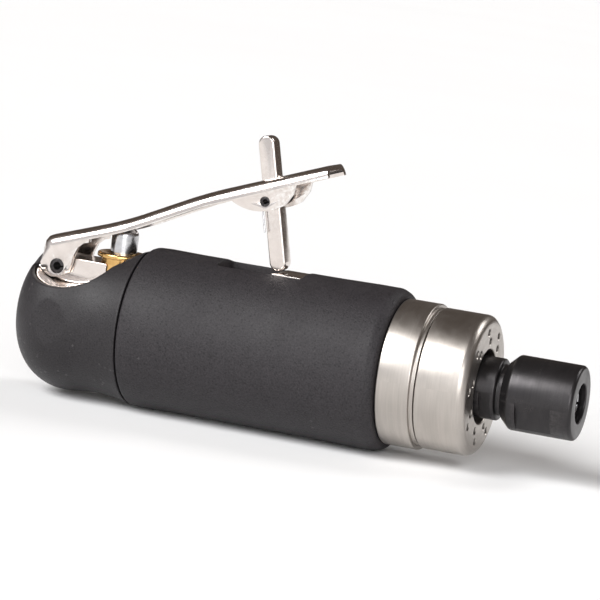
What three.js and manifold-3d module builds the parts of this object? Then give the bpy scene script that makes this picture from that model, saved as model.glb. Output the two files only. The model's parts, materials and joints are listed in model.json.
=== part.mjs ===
// Straight air die grinder: rear throttle housing with a lock-off lever, a rubber grip sleeve over a
// steel motor housing, a four-vane air motor, a front exhaust cap and a spindle with collet and nut.
// Millimetres. X runs along the tool from the air inlet to the collet nut, Z is up through the lever.
// While it is built, X starts at the rear face and Z at the tool axis; the group is moved at the end.
import * as THREE from 'three';
import { mergeVertices } from 'three/addons/utils/BufferGeometryUtils.js';
import Module from 'manifold-3d';

// ---- driving dimensions ----------------------------------------------------------------------
// clearances
const restGap = 0.3;          // between pieces that butt against each other
const seatGap = 0.2;          // radial, between pieces that stay together
const runGap = 0.12;          // radial, between a stem or pin and its bore
const throughCut = 60;        // length of tools that cut right through

// grip and motor housing
const tubeRadius = 17.4;      // steel motor housing under the grip
const tubeWall = 2.1;
const sleeveWall = 3.77;      // rubber grip over the tube
const sleeveLength = 70.9;
const sleeveBulge = 0.35;     // slight swelling near each end of the sleeve
const sleeveEdge = 1.3;       // rear edge rounding and front edge drop
const ringStep = 1.65;        // bare front ring stands above the tube
const ringLength = 9.1;
const grooveWidth = 1.3;
const grooveDepth = 1.1;

// rear housing
const rearLength = 33;
const rearFaceRadius = 7.8;
const coverWall = 1.8;
const bulbStation = 13.5;
const bulbDrop = 0.91;        // bulb radius below the grip radius
const waistStation = 22.1;
const waistDrop = 1.55;
const shoulderStation = 29.6;
const shoulderDrop = 0.85;
const spigotLength = 9;
const scoopDepth = 0.9;       // thumb scoop on each side of the bulb
const scoopStart = 3.2;
const scoopEnd = 20.5;
const scoopHalfHeight = 7;
const scoopRadius = 40;

// boss, pocket and deck on top of the rear housing
const deckDrop = 5.8;         // deck below the grip's top line
const deckEnd = 26;
const rampTopDrop = 0.85;     // top of the ramp below the grip's top line
const bossHalfWidth = 5.4;
const pocketRadius = 17.5;
const pocketStation = 12.5;
const pocketFloorDrop = 12.45; // lowest line of the pocket below the grip's top line

// air inlet
const inletRadius = 8;
const inletBoreRadius = 5.7;
const inletLength = 14;
const screenThickness = 1;
const screenHoleRadius = 1.1;
const screenHolePitch = 3.1;
const screenHoleCount = 6;    // round the middle one

// throttle valve
const stemStation = 24.4;
const stemRadius = 3.58;
const stemHeight = 9.4;       // dome above the deck
const stemTipRadius = 2.2;
const bushingRadius = 5.6;
const flangeRadius = 6.85;
const flangeHeight = 2.8;
const chamberRadius = 4.7;
const headRadius = 4.4;
const headThickness = 2.6;
const valveBoreFloor = -11;
const springWire = 0.9;
const springRadius = 3.1;
const springTurns = 5;
const passageRadius = 1.7;    // from the valve to the motor
const passageDrop = 6;        // passage below the deck
const plenumInner = 7.6;      // ring groove that feeds the motor's port
const plenumWall = 1.3;
const plenumDepth = 2;

// throttle lever, measured from its pivot
const pivotStation = 8.8;
const pivotDrop = 2.6;        // pivot below the deck
const leverSheet = 1.5;
const leverFlange = 3.5;
const leverSideGap = 0.35;
const leverPinRadius = 1.9;
const leverPinBore = 1.1;
const leverRear = [-2.6, 8.0];
const leverLowBend = [16.9, 14.6];
const leverHighBend = [38.8, 25.3];
const leverNose = [75.4, 38.9];

// lock-off lever, measured from its own pivot
const lockPivot = [56, 25.8];
const lockLean = 13;          // degrees, top towards the rear
const lockThickness = 4.5;
const lockWidth = 4.6;
const lockTopReach = 16.9;
const lockFootReach = 18.5;
const lockPinRadius = 1.3;
const lockPinBore = 0.7;
const lockSwing = 78;         // degrees, top forward
const throttleSwing = 6.5;    // degrees, nose down
const stemPress = 20.6;       // stem travel in millimetres for each radian of throttle
const lockSpringRadius = 2.1;
const lockSpringWire = 0.5;

// recess in the grip under the lock lever
const recessHalfWidth = 6.2;
const recessRear = 53.2;
const recessFront = 76.6;
const plateThickness = 0.8;
const plateStepHeight = 1.95;
const plateStepStation = 68.6;
const plateRamp = 1.2;

// air motor
const endPlateRear = 8;
const endPlateFront = 10;
const cylinderLength = 36;
const cylinderBoreRadius = 11.4;
const cylinderOffset = 1.4;
const rotorRadius = 9.82;
const vaneCount = 4;
const vaneThickness = 1.6;
const vaneDepth = 4.6;
const slotGap = 0.15;
const portRadius = 1.4;
const portPitch = 12.5;
const dowelRadius = 1;
const dowelAngle = 40;        // degrees from straight up
const ballCount = 6;
const raceShare = 0.24;       // of the bearing's radial thickness, for each race

// spindle, collet and nut
const rearJournal = 3.5;
const frontJournal = 5;
const rotorSeat = 5.2;
const collarRadius = 8.03;
const collarReach = 4.7;      // collar beyond the exhaust cap
const collarFlat = 6.9;
const neckRadius = 7.15;
const neckLength = 1.5;
const noseRadius = 6.3;
const noseLength = 14;
const nutLength = 19.3;
const nutRadius = 9.72;
const nutFlat = 8.75;
const nutMouth = 5.14;
const nutRearChamfer = 2.3;
const nutFlatStart = 4.6;     // wrench flats, from the nut's rear
const nutFlatEnd = 13.9;
const nutFlatTilt = 32;       // degrees below level, on the near side
const colletBore = 3.175;     // quarter-inch shank
const colletSlots = 3;
const colletSlotWidth = 0.8;

// exhaust cap
const capStep = 0.72;         // cap radius below the bare ring
const capLength = 13.2;
const capHoleGap = 1.72;      // between the spindle collar and the cap's hole
const capRound = 2.3;
const capWall = 5.5;
const capHoleRows = 9;
const exhaustHole = 0.95;
const holeRowStep = 9;        // degrees from a hole to its partner on the outer circle
const innerRowReach = 2;      // hole circles, out from the cap's hole
const outerRowReach = 4.6;

// ---- values worked out from them ---------------------------------------------------------------
const gripRadius = tubeRadius + seatGap + sleeveWall;
const tubeInner = tubeRadius - tubeWall;
const stackRadius = tubeInner - seatGap;
const ringRadius = tubeRadius + ringStep;
const capRadius = ringRadius - capStep;
const capHole = collarRadius + capHoleGap;
const sleeveEnd = rearLength + sleeveLength;
const ringEnd = sleeveEnd + ringLength;
const capStart = ringEnd + grooveWidth;
const capFace = capStart + capLength;
const deckTop = gripRadius - deckDrop;
const pocketHeight = gripRadius - pocketFloorDrop + pocketRadius;
const pivotHeight = deckTop - pivotDrop;
const flangeTop = deckTop + flangeHeight;
const stemTop = deckTop + stemHeight;
const leverInnerHalf = bossHalfWidth + leverSideGap;
const leverOuterHalf = leverInnerHalf + leverSheet;
const lockPivotStation = pivotStation + lockPivot[0];
const lockPivotHeight = pivotHeight + lockPivot[1];
const spigotEnd = rearLength + spigotLength;
const rearPlateStart = spigotEnd + restGap;
const rearPlateEnd = rearPlateStart + endPlateRear;
const cylinderStart = rearPlateEnd + restGap;
const cylinderEnd = cylinderStart + cylinderLength;
const frontPlateStart = cylinderEnd + restGap;
const frontPlateEnd = frontPlateStart + endPlateFront;
const spacerStart = frontPlateEnd + restGap;
const spigotDepth = 10;
const capSpigotEnd = ringEnd - spigotDepth + restGap;
const spacerEnd = capSpigotEnd - restGap;
const collarEnd = capFace + collarReach;
const neckEnd = collarEnd + neckLength;
const nutStart = neckEnd;
const nutEnd = nutStart + nutLength;
const noseEnd = nutStart + noseLength;

// ---- materials -----------------------------------------------------------------------------------
function finish(color, metalness, roughness) {
  return new THREE.MeshStandardMaterial({ color, metalness, roughness });
}
const rubberGrip = () => finish(0x454245, 0, 0.85);
const blackSkin = () => finish(0x3d3b3d, 0, 0.7);
const brightNickel = () => finish(0xd9d3cc, 1, 0.18);
const satinSteel = () => finish(0xb9b2aa, 1, 0.35);
const blackOxide = () => finish(0x2c2a2b, 0.8, 0.4);
const brassMetal = () => finish(0xb98a45, 1, 0.3);
const bareSteel = () => finish(0x9a9c9f, 1, 0.3);
const castIron = () => finish(0x6d6f72, 0.9, 0.5);
const sealRubber = () => finish(0x191919, 0, 0.8);
const feltGrey = () => finish(0x8a8780, 0, 0.95);
const vaneBrown = () => finish(0x6a4a2c, 0, 0.6);

// ---- solids --------------------------------------------------------------------------------------
const wasm = await Module();
wasm.setup();

function signedVolume(positions, triangles) {
  let volume = 0;
  const corner = (i) => new THREE.Vector3().fromArray(positions, 3 * i);
  for (let i = 0; i < triangles.length; i += 3) {
    const [a, b, c] = [corner(triangles[i]), corner(triangles[i + 1]), corner(triangles[i + 2])];
    volume += a.dot(b.cross(c)) / 6;
  }
  return volume;
}

function solid(geometry) {
  const bare = geometry.clone();
  bare.deleteAttribute('normal');
  bare.deleteAttribute('uv');
  const merged = mergeVertices(bare, 1e-4);
  const kept = [];
  const index = merged.index.array;
  for (let i = 0; i < index.length; i += 3) {
    const [a, b, c] = [index[i], index[i + 1], index[i + 2]];
    if (a !== b && b !== c && c !== a) kept.push(a, b, c);
  }
  const vertProperties = new Float32Array(merged.attributes.position.array);
  const triVerts = new Uint32Array(kept);
  if (signedVolume(vertProperties, triVerts) < 0) triVerts.reverse();
  return new wasm.Manifold(new wasm.Mesh({ numProp: 3, vertProperties, triVerts }));
}

function joined(pieces) {
  return pieces.reduce((whole, piece) => whole.add(piece));
}

function cut(body, tools) {
  return tools.reduce((left, tool) => left.subtract(tool), body);
}

// A closed profile of [x, radius] points turned about the tool axis.
function turned(profile, segments = 36) {
  const points = profile.map(([x, r]) => new THREE.Vector2(Math.max(r, 0), x));
  const onAxis = profile[0][1] === 0 && profile[profile.length - 1][1] === 0;
  if (!onAxis) points.push(points[0].clone());
  return solid(new THREE.LatheGeometry(points, segments).rotateZ(-Math.PI / 2));
}

function rod(start, end, radius, segments = 36) {
  return turned([[start, 0], [start, radius], [end, radius], [end, 0]], segments);
}

function tube(start, end, outer, inner, segments = 36) {
  return turned([[start, inner], [start, outer], [end, outer], [end, inner]], segments);
}

// The same turned solids about a vertical axis through the given station: points are [height, radius].
function turnedUp(profile, station, segments = 24) {
  const points = profile.map(([z, r]) => new THREE.Vector2(r, z));
  const onAxis = profile[0][1] === 0 && profile[profile.length - 1][1] === 0;
  if (!onAxis) points.push(points[0].clone());
  const geometry = new THREE.LatheGeometry(points, segments).rotateX(Math.PI / 2);
  return solid(geometry.translate(station, 0, 0));
}

function rodUp(station, bottom, top, radius, segments = 24) {
  return turnedUp([[bottom, 0], [bottom, radius], [top, radius], [top, 0]], station, segments);
}

// A cylinder across the tool, along Y.
function rodAcross(station, height, halfLength, radius, segments = 24) {
  const geometry = new THREE.CylinderGeometry(radius, radius, 2 * halfLength, segments);
  return solid(geometry.translate(station, 0, height));
}

function box(x0, x1, y0, y1, z0, z1) {
  const geometry = new THREE.BoxGeometry(x1 - x0, y1 - y0, z1 - z0);
  return solid(geometry.translate((x0 + x1) / 2, (y0 + y1) / 2, (z0 + z1) / 2));
}

// A side outline of [x, z] points, with thickness across the tool from y0 to y1.
function plate(outline, y0, y1) {
  const shape = new THREE.Shape(outline.map(([x, z]) => new THREE.Vector2(x, z)));
  const geometry = new THREE.ExtrudeGeometry(shape, { depth: y1 - y0, bevelEnabled: false });
  return solid(geometry.rotateX(Math.PI / 2).translate(0, y1, 0));
}

function turnedAbout(body, degrees, x, z) {
  return body.translate([-x, 0, -z]).rotate([0, degrees, 0]).translate([x, 0, z]);
}

// A solid on the tool axis moved out to a pitch radius and turned round the axis.
function onPitch(body, degrees, pitch) {
  return body.translate([0, 0, pitch]).rotate([degrees, 0, 0]);
}

function arcPoints(cx, cz, radius, from, to, steps) {
  const points = [];
  for (let i = 0; i <= steps; i += 1) {
    const angle = THREE.MathUtils.degToRad(from + ((to - from) * i) / steps);
    points.push([cx + radius * Math.cos(angle), cz + radius * Math.sin(angle)]);
  }
  return points;
}

const group = new THREE.Group();

function add(name, body, material) {
  const mesh = body.getMesh();
  const geometry = new THREE.BufferGeometry();
  const positions = new Float32Array((mesh.vertProperties.length / mesh.numProp) * 3);
  for (let i = 0; i < positions.length / 3; i += 1) {
    for (let axis = 0; axis < 3; axis += 1) {
      positions[3 * i + axis] = mesh.vertProperties[mesh.numProp * i + axis];
    }
  }
  geometry.setAttribute('position', new THREE.BufferAttribute(positions, 3));
  geometry.setIndex(new THREE.BufferAttribute(new Uint32Array(mesh.triVerts), 1));
  geometry.computeVertexNormals();
  const part = new THREE.Mesh(geometry, material);
  part.name = name;
  group.add(part);
}

// ---- rear housing: metal body, black cover, pocket, deck and ramp ------------------------------
// Radius of the rear housing's outside, less an inset, as a profile from the rear face forward.
function bulbProfile(inset, start, end) {
  const bulb = gripRadius - bulbDrop;
  const points = [];
  const steps = 9;
  for (let i = 0; i <= steps; i += 1) {
    const angle = (Math.PI / 2) * (i / steps);
    const radius = rearFaceRadius + (bulb - rearFaceRadius) * Math.sin(angle);
    points.push([bulbStation * (1 - Math.cos(angle)), radius]);
  }
  points.push([waistStation - 4, (bulb + gripRadius - waistDrop) / 2 + 0.05]);
  points.push([waistStation, gripRadius - waistDrop]);
  points.push([shoulderStation, gripRadius - shoulderDrop]);
  points.push([rearLength, gripRadius - 0.2]);
  const inner = points.map(([x, r]) => [x, r - inset]).filter(([x]) => x > start && x < end);
  const radiusAt = (x) => {
    const next = points.findIndex(([px]) => px >= x);
    const [x1, r1] = points[Math.max(next, 1)];
    const [x0, r0] = points[Math.max(next, 1) - 1];
    return r0 + ((r1 - r0) * (x - x0)) / (x1 - x0) - inset;
  };
  return [[start, 0], [start, radiusAt(start)], ...inner, [end, radiusAt(end)], [end, 0]];
}

const rampTop = gripRadius - rampTopDrop;
function deckCut(gap) {
  const high = gripRadius + 10;
  const outline = [[-5, deckTop + gap], [deckEnd, deckTop + gap], [rearLength, rampTop + gap]];
  outline.push([rearLength + 1.4, gripRadius + 0.2 + gap], [rearLength + 1.4, high], [-5, high]);
  return plate(outline, -throughCut / 2, throughCut / 2);
}
const pocketCylinder = rodAcross(pocketStation, pocketHeight, throughCut / 2, pocketRadius, 64);
const bossBlock = box(-5, rearLength + 5, -bossHalfWidth, bossHalfWidth, 0, throughCut);
const pocketCut = pocketCylinder.subtract(bossBlock);
const flangeRecess = rodUp(stemStation, deckTop - 0.1, throughCut, flangeRadius + restGap);

const coverSolid = turned(bulbProfile(0, 0, rearLength));
const coverHollow = turned(bulbProfile(coverWall, coverWall, rearLength + 5));
function scoopCut(side) {
  const bulb = gripRadius - bulbDrop;
  const tool = rodUp(0, -scoopHalfHeight, scoopHalfHeight, scoopRadius, 48);
  const middle = (scoopStart + scoopEnd) / 2;
  const wide = tool.translate([middle, side * (bulb - scoopDepth + scoopRadius), 0]);
  return wide.intersect(box(scoopStart - 3, scoopEnd, -throughCut, throughCut, -throughCut, throughCut));
}
const rearCover = cut(coverSolid, [
  coverHollow, deckCut(0), pocketCut, flangeRecess, scoopCut(1), scoopCut(-1),
  rod(-1, coverWall + 2, inletRadius + restGap),
  rodAcross(pivotStation, pivotHeight, throughCut / 2, leverPinRadius + seatGap),
]);
add('rear_cover', rearCover, blackSkin());

const housingInset = coverWall + restGap;
const housingBody = turned(bulbProfile(housingInset, housingInset, rearLength));
const housingSpigot = rod(rearLength - 1, spigotEnd, stackRadius);
const valveBoreRadius = bushingRadius + seatGap;
const inletStop = inletLength + screenThickness + 2 * restGap;
const passageHeight = deckTop - passageDrop;
const throttleHousing = cut(joined([housingBody, housingSpigot]), [
  deckCut(0), pocketCut, flangeRecess,
  rod(0, inletStop, inletRadius + seatGap),
  rod(0, stemStation, inletBoreRadius - 0.7),
  rodUp(stemStation, valveBoreFloor, throughCut, valveBoreRadius),
  rod(stemStation, spigotEnd + 1, passageRadius, 24).translate([0, 0, passageHeight]),
  tube(spigotEnd - plenumDepth, spigotEnd + 1, stackRadius - plenumWall, plenumInner),
  rodAcross(pivotStation, pivotHeight, throughCut / 2, leverPinRadius + runGap),
]);
add('throttle_housing', throttleHousing, brightNickel());

// ---- air inlet ---------------------------------------------------------------------------------
const inletBushing = turned([
  [0, inletBoreRadius + 0.6], [0, inletRadius - 0.4], [0.4, inletRadius], [inletLength, inletRadius],
  [inletLength, inletBoreRadius], [1.2, inletBoreRadius],
]);
add('inlet_bushing', inletBushing, bareSteel());

const screenStart = inletLength + restGap;
const screenHoles = [rod(screenStart - 1, screenStart + screenThickness + 1, screenHoleRadius, 8)];
for (let i = 0; i < screenHoleCount; i += 1) {
  const hole = rod(screenStart - 1, screenStart + screenThickness + 1, screenHoleRadius, 8);
  screenHoles.push(onPitch(hole, (360 * i) / screenHoleCount, screenHolePitch));
}
const screenDisc = rod(screenStart, screenStart + screenThickness, inletRadius);
add('inlet_screen', cut(screenDisc, screenHoles), brassMetal());

// ---- throttle valve ----------------------------------------------------------------------------
const stemBoreRadius = stemRadius + runGap;
const sealTop = deckTop + 1.4;
const sealBottom = sealTop - 1.8;
const chamberTop = deckTop - 3.2;
const bushingBottom = 1.6;
const valveBushing = cut(turnedUp([
  [bushingBottom, bushingRadius], [deckTop + restGap, bushingRadius], [deckTop + restGap, flangeRadius],
  [flangeTop - 0.5, flangeRadius], [flangeTop, flangeRadius - 0.5], [flangeTop, stemBoreRadius],
  [sealTop, stemBoreRadius], [sealTop, stemBoreRadius + 1.3], [sealBottom, stemBoreRadius + 1.3],
  [sealBottom, stemBoreRadius], [chamberTop, stemBoreRadius], [chamberTop, chamberRadius],
  [bushingBottom, chamberRadius],
], stemStation), [rod(stemStation, stemStation + 10, passageRadius, 24).translate([0, 0, passageHeight])]);
add('valve_bushing', valveBushing, brassMetal());

function ringUp(station, height, ringCentre, wireRadius, ringSegments = 24) {
  const profile = [];
  for (let i = 0; i < 8; i += 1) {
    const angle = (2 * Math.PI * i) / 8;
    profile.push([height + wireRadius * Math.sin(angle), ringCentre + wireRadius * Math.cos(angle)]);
  }
  return turnedUp(profile, station, ringSegments);
}
const sealWire = 0.58;
const sealHeight = (sealTop + sealBottom) / 2;
const sealCentre = stemBoreRadius + sealWire + 0.04;
add('stem_seal', ringUp(stemStation, sealHeight, sealCentre, sealWire), sealRubber());

const seatTop = bushingBottom - restGap;
const seatBottom = seatTop - 1.2;
const seatHole = 3.1;
add('valve_seat', turnedUp([
  [seatBottom, seatHole], [seatBottom, bushingRadius - seatGap], [seatTop, bushingRadius - seatGap],
  [seatTop, seatHole],
], stemStation), sealRubber());

const headTop = seatBottom - restGap;
const headBottom = headTop - headThickness;
const stemFoot = headTop + restGap;
const domeHeight = 2.4;
const domeFlat = 1.1;
const domePoints = arcPoints(0, 0, 1, 0, 90, 5).map(([c, s]) => [
  stemTop - domeHeight + domeHeight * s, domeFlat + (stemRadius - domeFlat) * c,
]);
const stemNeck = chamberTop - 1.2;
add('valve_stem', turnedUp([
  [stemFoot, 0], [stemFoot, stemTipRadius], [stemNeck, stemTipRadius], [stemNeck + 0.8, stemRadius],
  ...domePoints, [stemTop, 0],
], stemStation), bareSteel());

const springPilot = springRadius - springWire / 2 - 0.5;
const pilotLength = 1.6;
add('valve_head', turnedUp([
  [headBottom - pilotLength, 0], [headBottom - pilotLength, springPilot], [headBottom, springPilot],
  [headBottom, headRadius], [headTop - 0.4, headRadius],
  [headTop, headRadius - 0.4], [headTop, 0],
], stemStation), sealRubber());

class Helix extends THREE.Curve {
  constructor(radius, height, turns) {
    super();
    this.radius = radius;
    this.height = height;
    this.turns = turns;
  }

  getPoint(t, target = new THREE.Vector3()) {
    const angle = 2 * Math.PI * this.turns * t;
    return target.set(this.radius * Math.cos(angle), this.radius * Math.sin(angle), this.height * t);
  }
}

function wire(curve, steps, diameter, sides = 6) {
  const section = new THREE.Shape();
  section.absarc(0, 0, diameter / 2, 0, 2 * Math.PI, false);
  const points = section.getSpacedPoints(sides).slice(0, sides);
  const settings = { steps, bevelEnabled: false, extrudePath: curve };
  return new THREE.ExtrudeGeometry(new THREE.Shape(points), settings);
}
const springBottom = valveBoreFloor + restGap + springWire / 2;
const springTop = headBottom - restGap - springWire / 2;
const springCurve = new Helix(springRadius, springTop - springBottom, springTurns);
const springWound = wire(springCurve, springTurns * 12, springWire, 5);
add('valve_spring', solid(springWound.translate(stemStation, 0, springBottom)), bareSteel());

// ---- grip sleeve with the lock recess ----------------------------------------------------------
const sleeveStart = rearLength + restGap;
const sleeveInner = tubeRadius + seatGap;
const sleeve = turned([
  [sleeveStart, sleeveInner], [sleeveStart, gripRadius - 0.5], [sleeveStart + 0.5, gripRadius - 0.1],
  [sleeveStart + 3, gripRadius], [sleeveStart + 12, gripRadius - sleeveBulge + 0.2],
  [sleeveEnd - 20, gripRadius - sleeveBulge + 0.2], [sleeveEnd - 8, gripRadius], [sleeveEnd - 2.3, gripRadius],
  [sleeveEnd, gripRadius - sleeveEdge], [sleeveEnd, sleeveInner],
], 64);
const recess = box(recessRear, recessFront, -recessHalfWidth, recessHalfWidth, 0, throughCut);
const gripSleeve = cut(sleeve, [recess, deckCut(0)]);
add('grip_sleeve', gripSleeve, rubberGrip());

const plateFloor = tubeRadius + seatGap;
const plateOutline = [
  [recessRear + restGap, plateFloor], [recessFront - restGap, plateFloor],
  [recessFront - restGap, plateFloor + plateThickness + plateStepHeight],
  [plateStepStation, plateFloor + plateThickness + plateStepHeight],
  [plateStepStation - plateRamp, plateFloor + plateThickness], [recessRear + restGap, plateFloor + plateThickness],
];
const plateHalf = recessHalfWidth - restGap;
add('rest_plate', plate(plateOutline, -plateHalf, plateHalf), brightNickel());

// ---- motor housing -----------------------------------------------------------------------------
const ringStart = sleeveEnd + restGap;
const motorHousing = turned([
  [rearLength + restGap, tubeInner], [rearLength + restGap, tubeRadius], [ringStart, tubeRadius],
  [ringStart, ringRadius - 0.5], [ringStart + 0.5, ringRadius], [ringEnd - 0.4, ringRadius],
  [ringEnd, ringRadius - 0.4], [ringEnd, ringRadius - grooveDepth],
  [capStart - restGap, ringRadius - grooveDepth], [capStart - restGap, tubeInner],
]);
add('motor_housing', motorHousing, satinSteel());

// ---- air motor ---------------------------------------------------------------------------------
const frontBearing = { inner: frontJournal, outer: 12.9, width: 6.8, start: frontPlateEnd - 7 };
const rearBearing = { inner: rearJournal, outer: 9.5, width: 6, start: rearPlateStart + restGap };

function portHole(start, end) {
  return rod(start, end, portRadius, 20).translate([0, 0, portPitch]);
}
const dowelHole = (start, end, gap) => onPitch(rod(start, end, dowelRadius + gap, 16), dowelAngle, portPitch);

const rearPlate = cut(rod(rearPlateStart, rearPlateEnd, stackRadius), [
  rod(rearPlateStart - 1, rearBearing.start + rearBearing.width + restGap, rearBearing.outer + runGap),
  rod(rearPlateStart - 1, rearPlateEnd + 1, rearBearing.outer - 2.6),
  portHole(rearPlateStart - 1, rearPlateEnd + 1),
  dowelHole(rearPlateEnd - 3, rearPlateEnd + 1, runGap),
]);
add('rear_end_plate', rearPlate, castIron());

const exhaustSlots = [];
for (let i = 0; i < 4; i += 1) {
  const station = cylinderStart + cylinderLength * (0.2 + 0.2 * i);
  exhaustSlots.push(rodUp(station, -throughCut / 2, 0, 2, 16));
}
const cylinderBody = cut(rod(cylinderStart, cylinderEnd, stackRadius), [
  rod(cylinderStart - 1, cylinderEnd + 1, cylinderBoreRadius).translate([0, 0, -cylinderOffset]),
  portHole(cylinderStart - 1, cylinderEnd - 8),
  dowelHole(cylinderStart - 1, cylinderEnd + 1, runGap),
  ...exhaustSlots,
]);
add('motor_cylinder', cylinderBody, castIron());

const frontPlate = cut(rod(frontPlateStart, frontPlateEnd, stackRadius), [
  rod(frontBearing.start - restGap, frontPlateEnd + 1, frontBearing.outer + runGap),
  rod(frontPlateStart - 1, frontPlateEnd + 1, frontBearing.inner + 2.4),
  dowelHole(frontPlateStart - 1, frontPlateStart + 2, runGap),
]);
add('front_end_plate', frontPlate, castIron());
add('alignment_dowel', dowelHole(rearPlateEnd - 2.7, frontPlateStart + 1.7, 0), bareSteel());

const spacerInner = frontBearing.outer - 2.2;
add('clamp_spacer', tube(spacerStart, spacerEnd, stackRadius, spacerInner), bareSteel());

function bearing(prefix, { inner, outer, width, start }) {
  const race = (outer - inner) * raceShare;
  const end = start + width;
  add(`${prefix}_bearing_outer`, tube(start, end, outer, outer - race), bareSteel());
  add(`${prefix}_bearing_inner`, tube(start, end, inner + race, inner + runGap), bareSteel());
  const pitch = (outer + inner) / 2;
  const ballRadius = (outer - inner) / 2 - race - runGap;
  const middle = start + width / 2;
  const cage = tube(middle - 0.7, middle + 0.7, pitch + ballRadius * 0.4, pitch - ballRadius * 0.4, 18);
  const balls = [];
  for (let i = 0; i < ballCount; i += 1) {
    const ball = solid(new THREE.IcosahedronGeometry(ballRadius, 1).translate(middle, 0, 0));
    balls.push(onPitch(ball, (360 * i) / ballCount, pitch));
  }
  add(`${prefix}_bearing_balls`, joined([cage, ...balls]), brassMetal());
}
bearing('rear', rearBearing);
bearing('front', frontBearing);

const vaneSlots = [];
const rotorStart = cylinderStart + 0.25;
const rotorEnd = cylinderEnd - 0.25;
const vaneFloor = rotorRadius - vaneDepth;
for (let i = 0; i < vaneCount; i += 1) {
  const turn = (360 * i) / vaneCount + 45;
  const slotHalf = vaneThickness / 2 + slotGap;
  const slot = box(rotorStart - 1, rotorEnd + 1, -slotHalf, slotHalf, vaneFloor, rotorRadius + 2);
  vaneSlots.push(slot.rotate([turn, 0, 0]));
  const half = vaneThickness / 2;
  const vane = box(rotorStart, rotorEnd, -half, half, vaneFloor + slotGap, rotorRadius - 0.25);
  add(`vane_${i + 1}`, vane.rotate([turn, 0, 0]), vaneBrown());
}
const rotorBody = tube(rotorStart, rotorEnd, rotorRadius, rotorSeat - slotGap - 0.35);
add('rotor', cut(rotorBody, vaneSlots), bareSteel());

// ---- spindle, collet and nut -------------------------------------------------------------------
const taperStart = nutStart - 6;
const taperMouth = 5.1;
const taperRoot = 3.95;
const boreDepth = 16;         // spindle bore behind the collet
const shaftRadius = rotorSeat - 0.6 - slotGap;
const spindleBody = turned([
  [rearPlateStart + 0.4, 0], [rearPlateStart + 0.4, rearJournal - 0.4], [rearPlateStart + 0.8, rearJournal],
  [rearPlateEnd, rearJournal], [cylinderStart, shaftRadius], [cylinderEnd, shaftRadius],
  [frontPlateStart, frontJournal], [frontPlateEnd + 0.3, frontJournal], [frontPlateEnd + 0.3, frontJournal + 1.5],
  [frontPlateEnd + 3, frontJournal + 1.5], [frontPlateEnd + 4, collarRadius], [collarEnd - 0.5, collarRadius],
  [collarEnd, collarRadius - 0.5], [collarEnd, neckRadius - 0.6], [neckEnd - restGap, neckRadius - 0.6],
  [neckEnd - restGap, noseRadius], [noseEnd - 0.5, noseRadius], [noseEnd, noseRadius - 0.5], [noseEnd, taperMouth],
  [taperStart, taperRoot], [taperStart - boreDepth, taperRoot], [taperStart - boreDepth - 2, 0],
]);
const flatTools = [1, -1].map((side) => {
  const low = side > 0 ? collarFlat : -throughCut;
  const high = side > 0 ? throughCut : -collarFlat;
  return box(capFace + 0.7, collarEnd - 0.9, low, high, -throughCut, throughCut).rotate([nutFlatTilt, 0, 0]);
});
add('spindle', cut(spindleBody, flatTools), blackOxide());

const colletRear = taperStart - 2;
const colletHead = noseEnd + 0.5;
const colletNose = nutEnd - 1.6;
const colletBody = turned([
  [colletRear, colletBore], [colletRear, taperRoot - runGap], [taperStart, taperRoot - runGap],
  [noseEnd - 0.2, taperMouth - runGap - 0.03], [colletHead, taperMouth + 0.3],
  [colletHead + 1.2, taperMouth + 0.3],
  [colletNose, taperMouth - 0.9], [colletNose, colletBore],
]);
const slotTools = [];
for (let i = 0; i < colletSlots; i += 1) {
  const slot = box(taperStart + 1.5, nutEnd + 1, -colletSlotWidth / 2, colletSlotWidth / 2, 0, throughCut);
  slotTools.push(slot.rotate([(360 * i) / colletSlots + 20, 0, 0]));
}
add('collet', cut(colletBody, slotTools), bareSteel());

const threadRadius = noseRadius + seatGap;
const nutBody = turned([
  [nutStart, threadRadius], [nutStart, nutRadius - nutRearChamfer + 0.1], [nutStart + nutRearChamfer, nutRadius],
  [nutEnd - 1.3, nutRadius],
  [nutEnd - 0.35, nutRadius - 0.4], [nutEnd, nutRadius - 1], [nutEnd, nutMouth + 0.3],
  [nutEnd - 0.3, nutMouth],
  [colletNose + 0.2, nutMouth], [colletHead + 1.4, taperMouth + 0.7], [colletHead + 0.2, threadRadius],
]);
const nutFlats = [1, -1].map((side) => {
  const low = side > 0 ? nutFlat : -throughCut;
  const high = side > 0 ? throughCut : -nutFlat;
  const tool = box(nutStart + nutFlatStart, nutStart + nutFlatEnd, low, high, -throughCut, throughCut);
  return tool.rotate([nutFlatTilt, 0, 0]);
});
add('collet_nut', cut(nutBody, nutFlats), blackOxide());

// ---- exhaust cap and silencer ------------------------------------------------------------------
const capRoundPoints = arcPoints(capFace - capRound, capRadius - capRound, capRound, 90, 0, 5);
const capInner = collarRadius + 4.2;
const capBody = turned([
  [capSpigotEnd, capInner], [capSpigotEnd, stackRadius], [capStart, stackRadius],
  [capStart, capRadius - 0.4], [capStart + 0.4, capRadius], ...capRoundPoints,
  [capFace, capHole + 0.4], [capFace - 0.4, capHole],
  [capFace - capWall, capHole], [capFace - capWall, capInner + 2.6], [capStart + 1, capInner + 2.6],
  [capStart, capInner],
]);
const capHoles = [];
for (let i = 0; i < capHoleRows; i += 1) {
  const turn = (360 * i) / capHoleRows;
  const hole = rod(capFace - capWall - 1, capFace + 1, exhaustHole, 8);
  capHoles.push(onPitch(hole, turn, capHole + innerRowReach));
  capHoles.push(onPitch(hole, turn + holeRowStep, capHole + outerRowReach));
}
add('exhaust_cap', cut(capBody, capHoles), satinSteel());

const silencerOuter = capInner + 2.6 - seatGap;
const silencer = tube(capStart + 1.3, capFace - capWall - restGap, silencerOuter, capHole);
add('silencer_ring', silencer, feltGrey());

// ---- throttle lever ----------------------------------------------------------------------------
const fromPivot = ([dx, dz]) => [pivotStation + dx, pivotHeight + dz];

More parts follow.
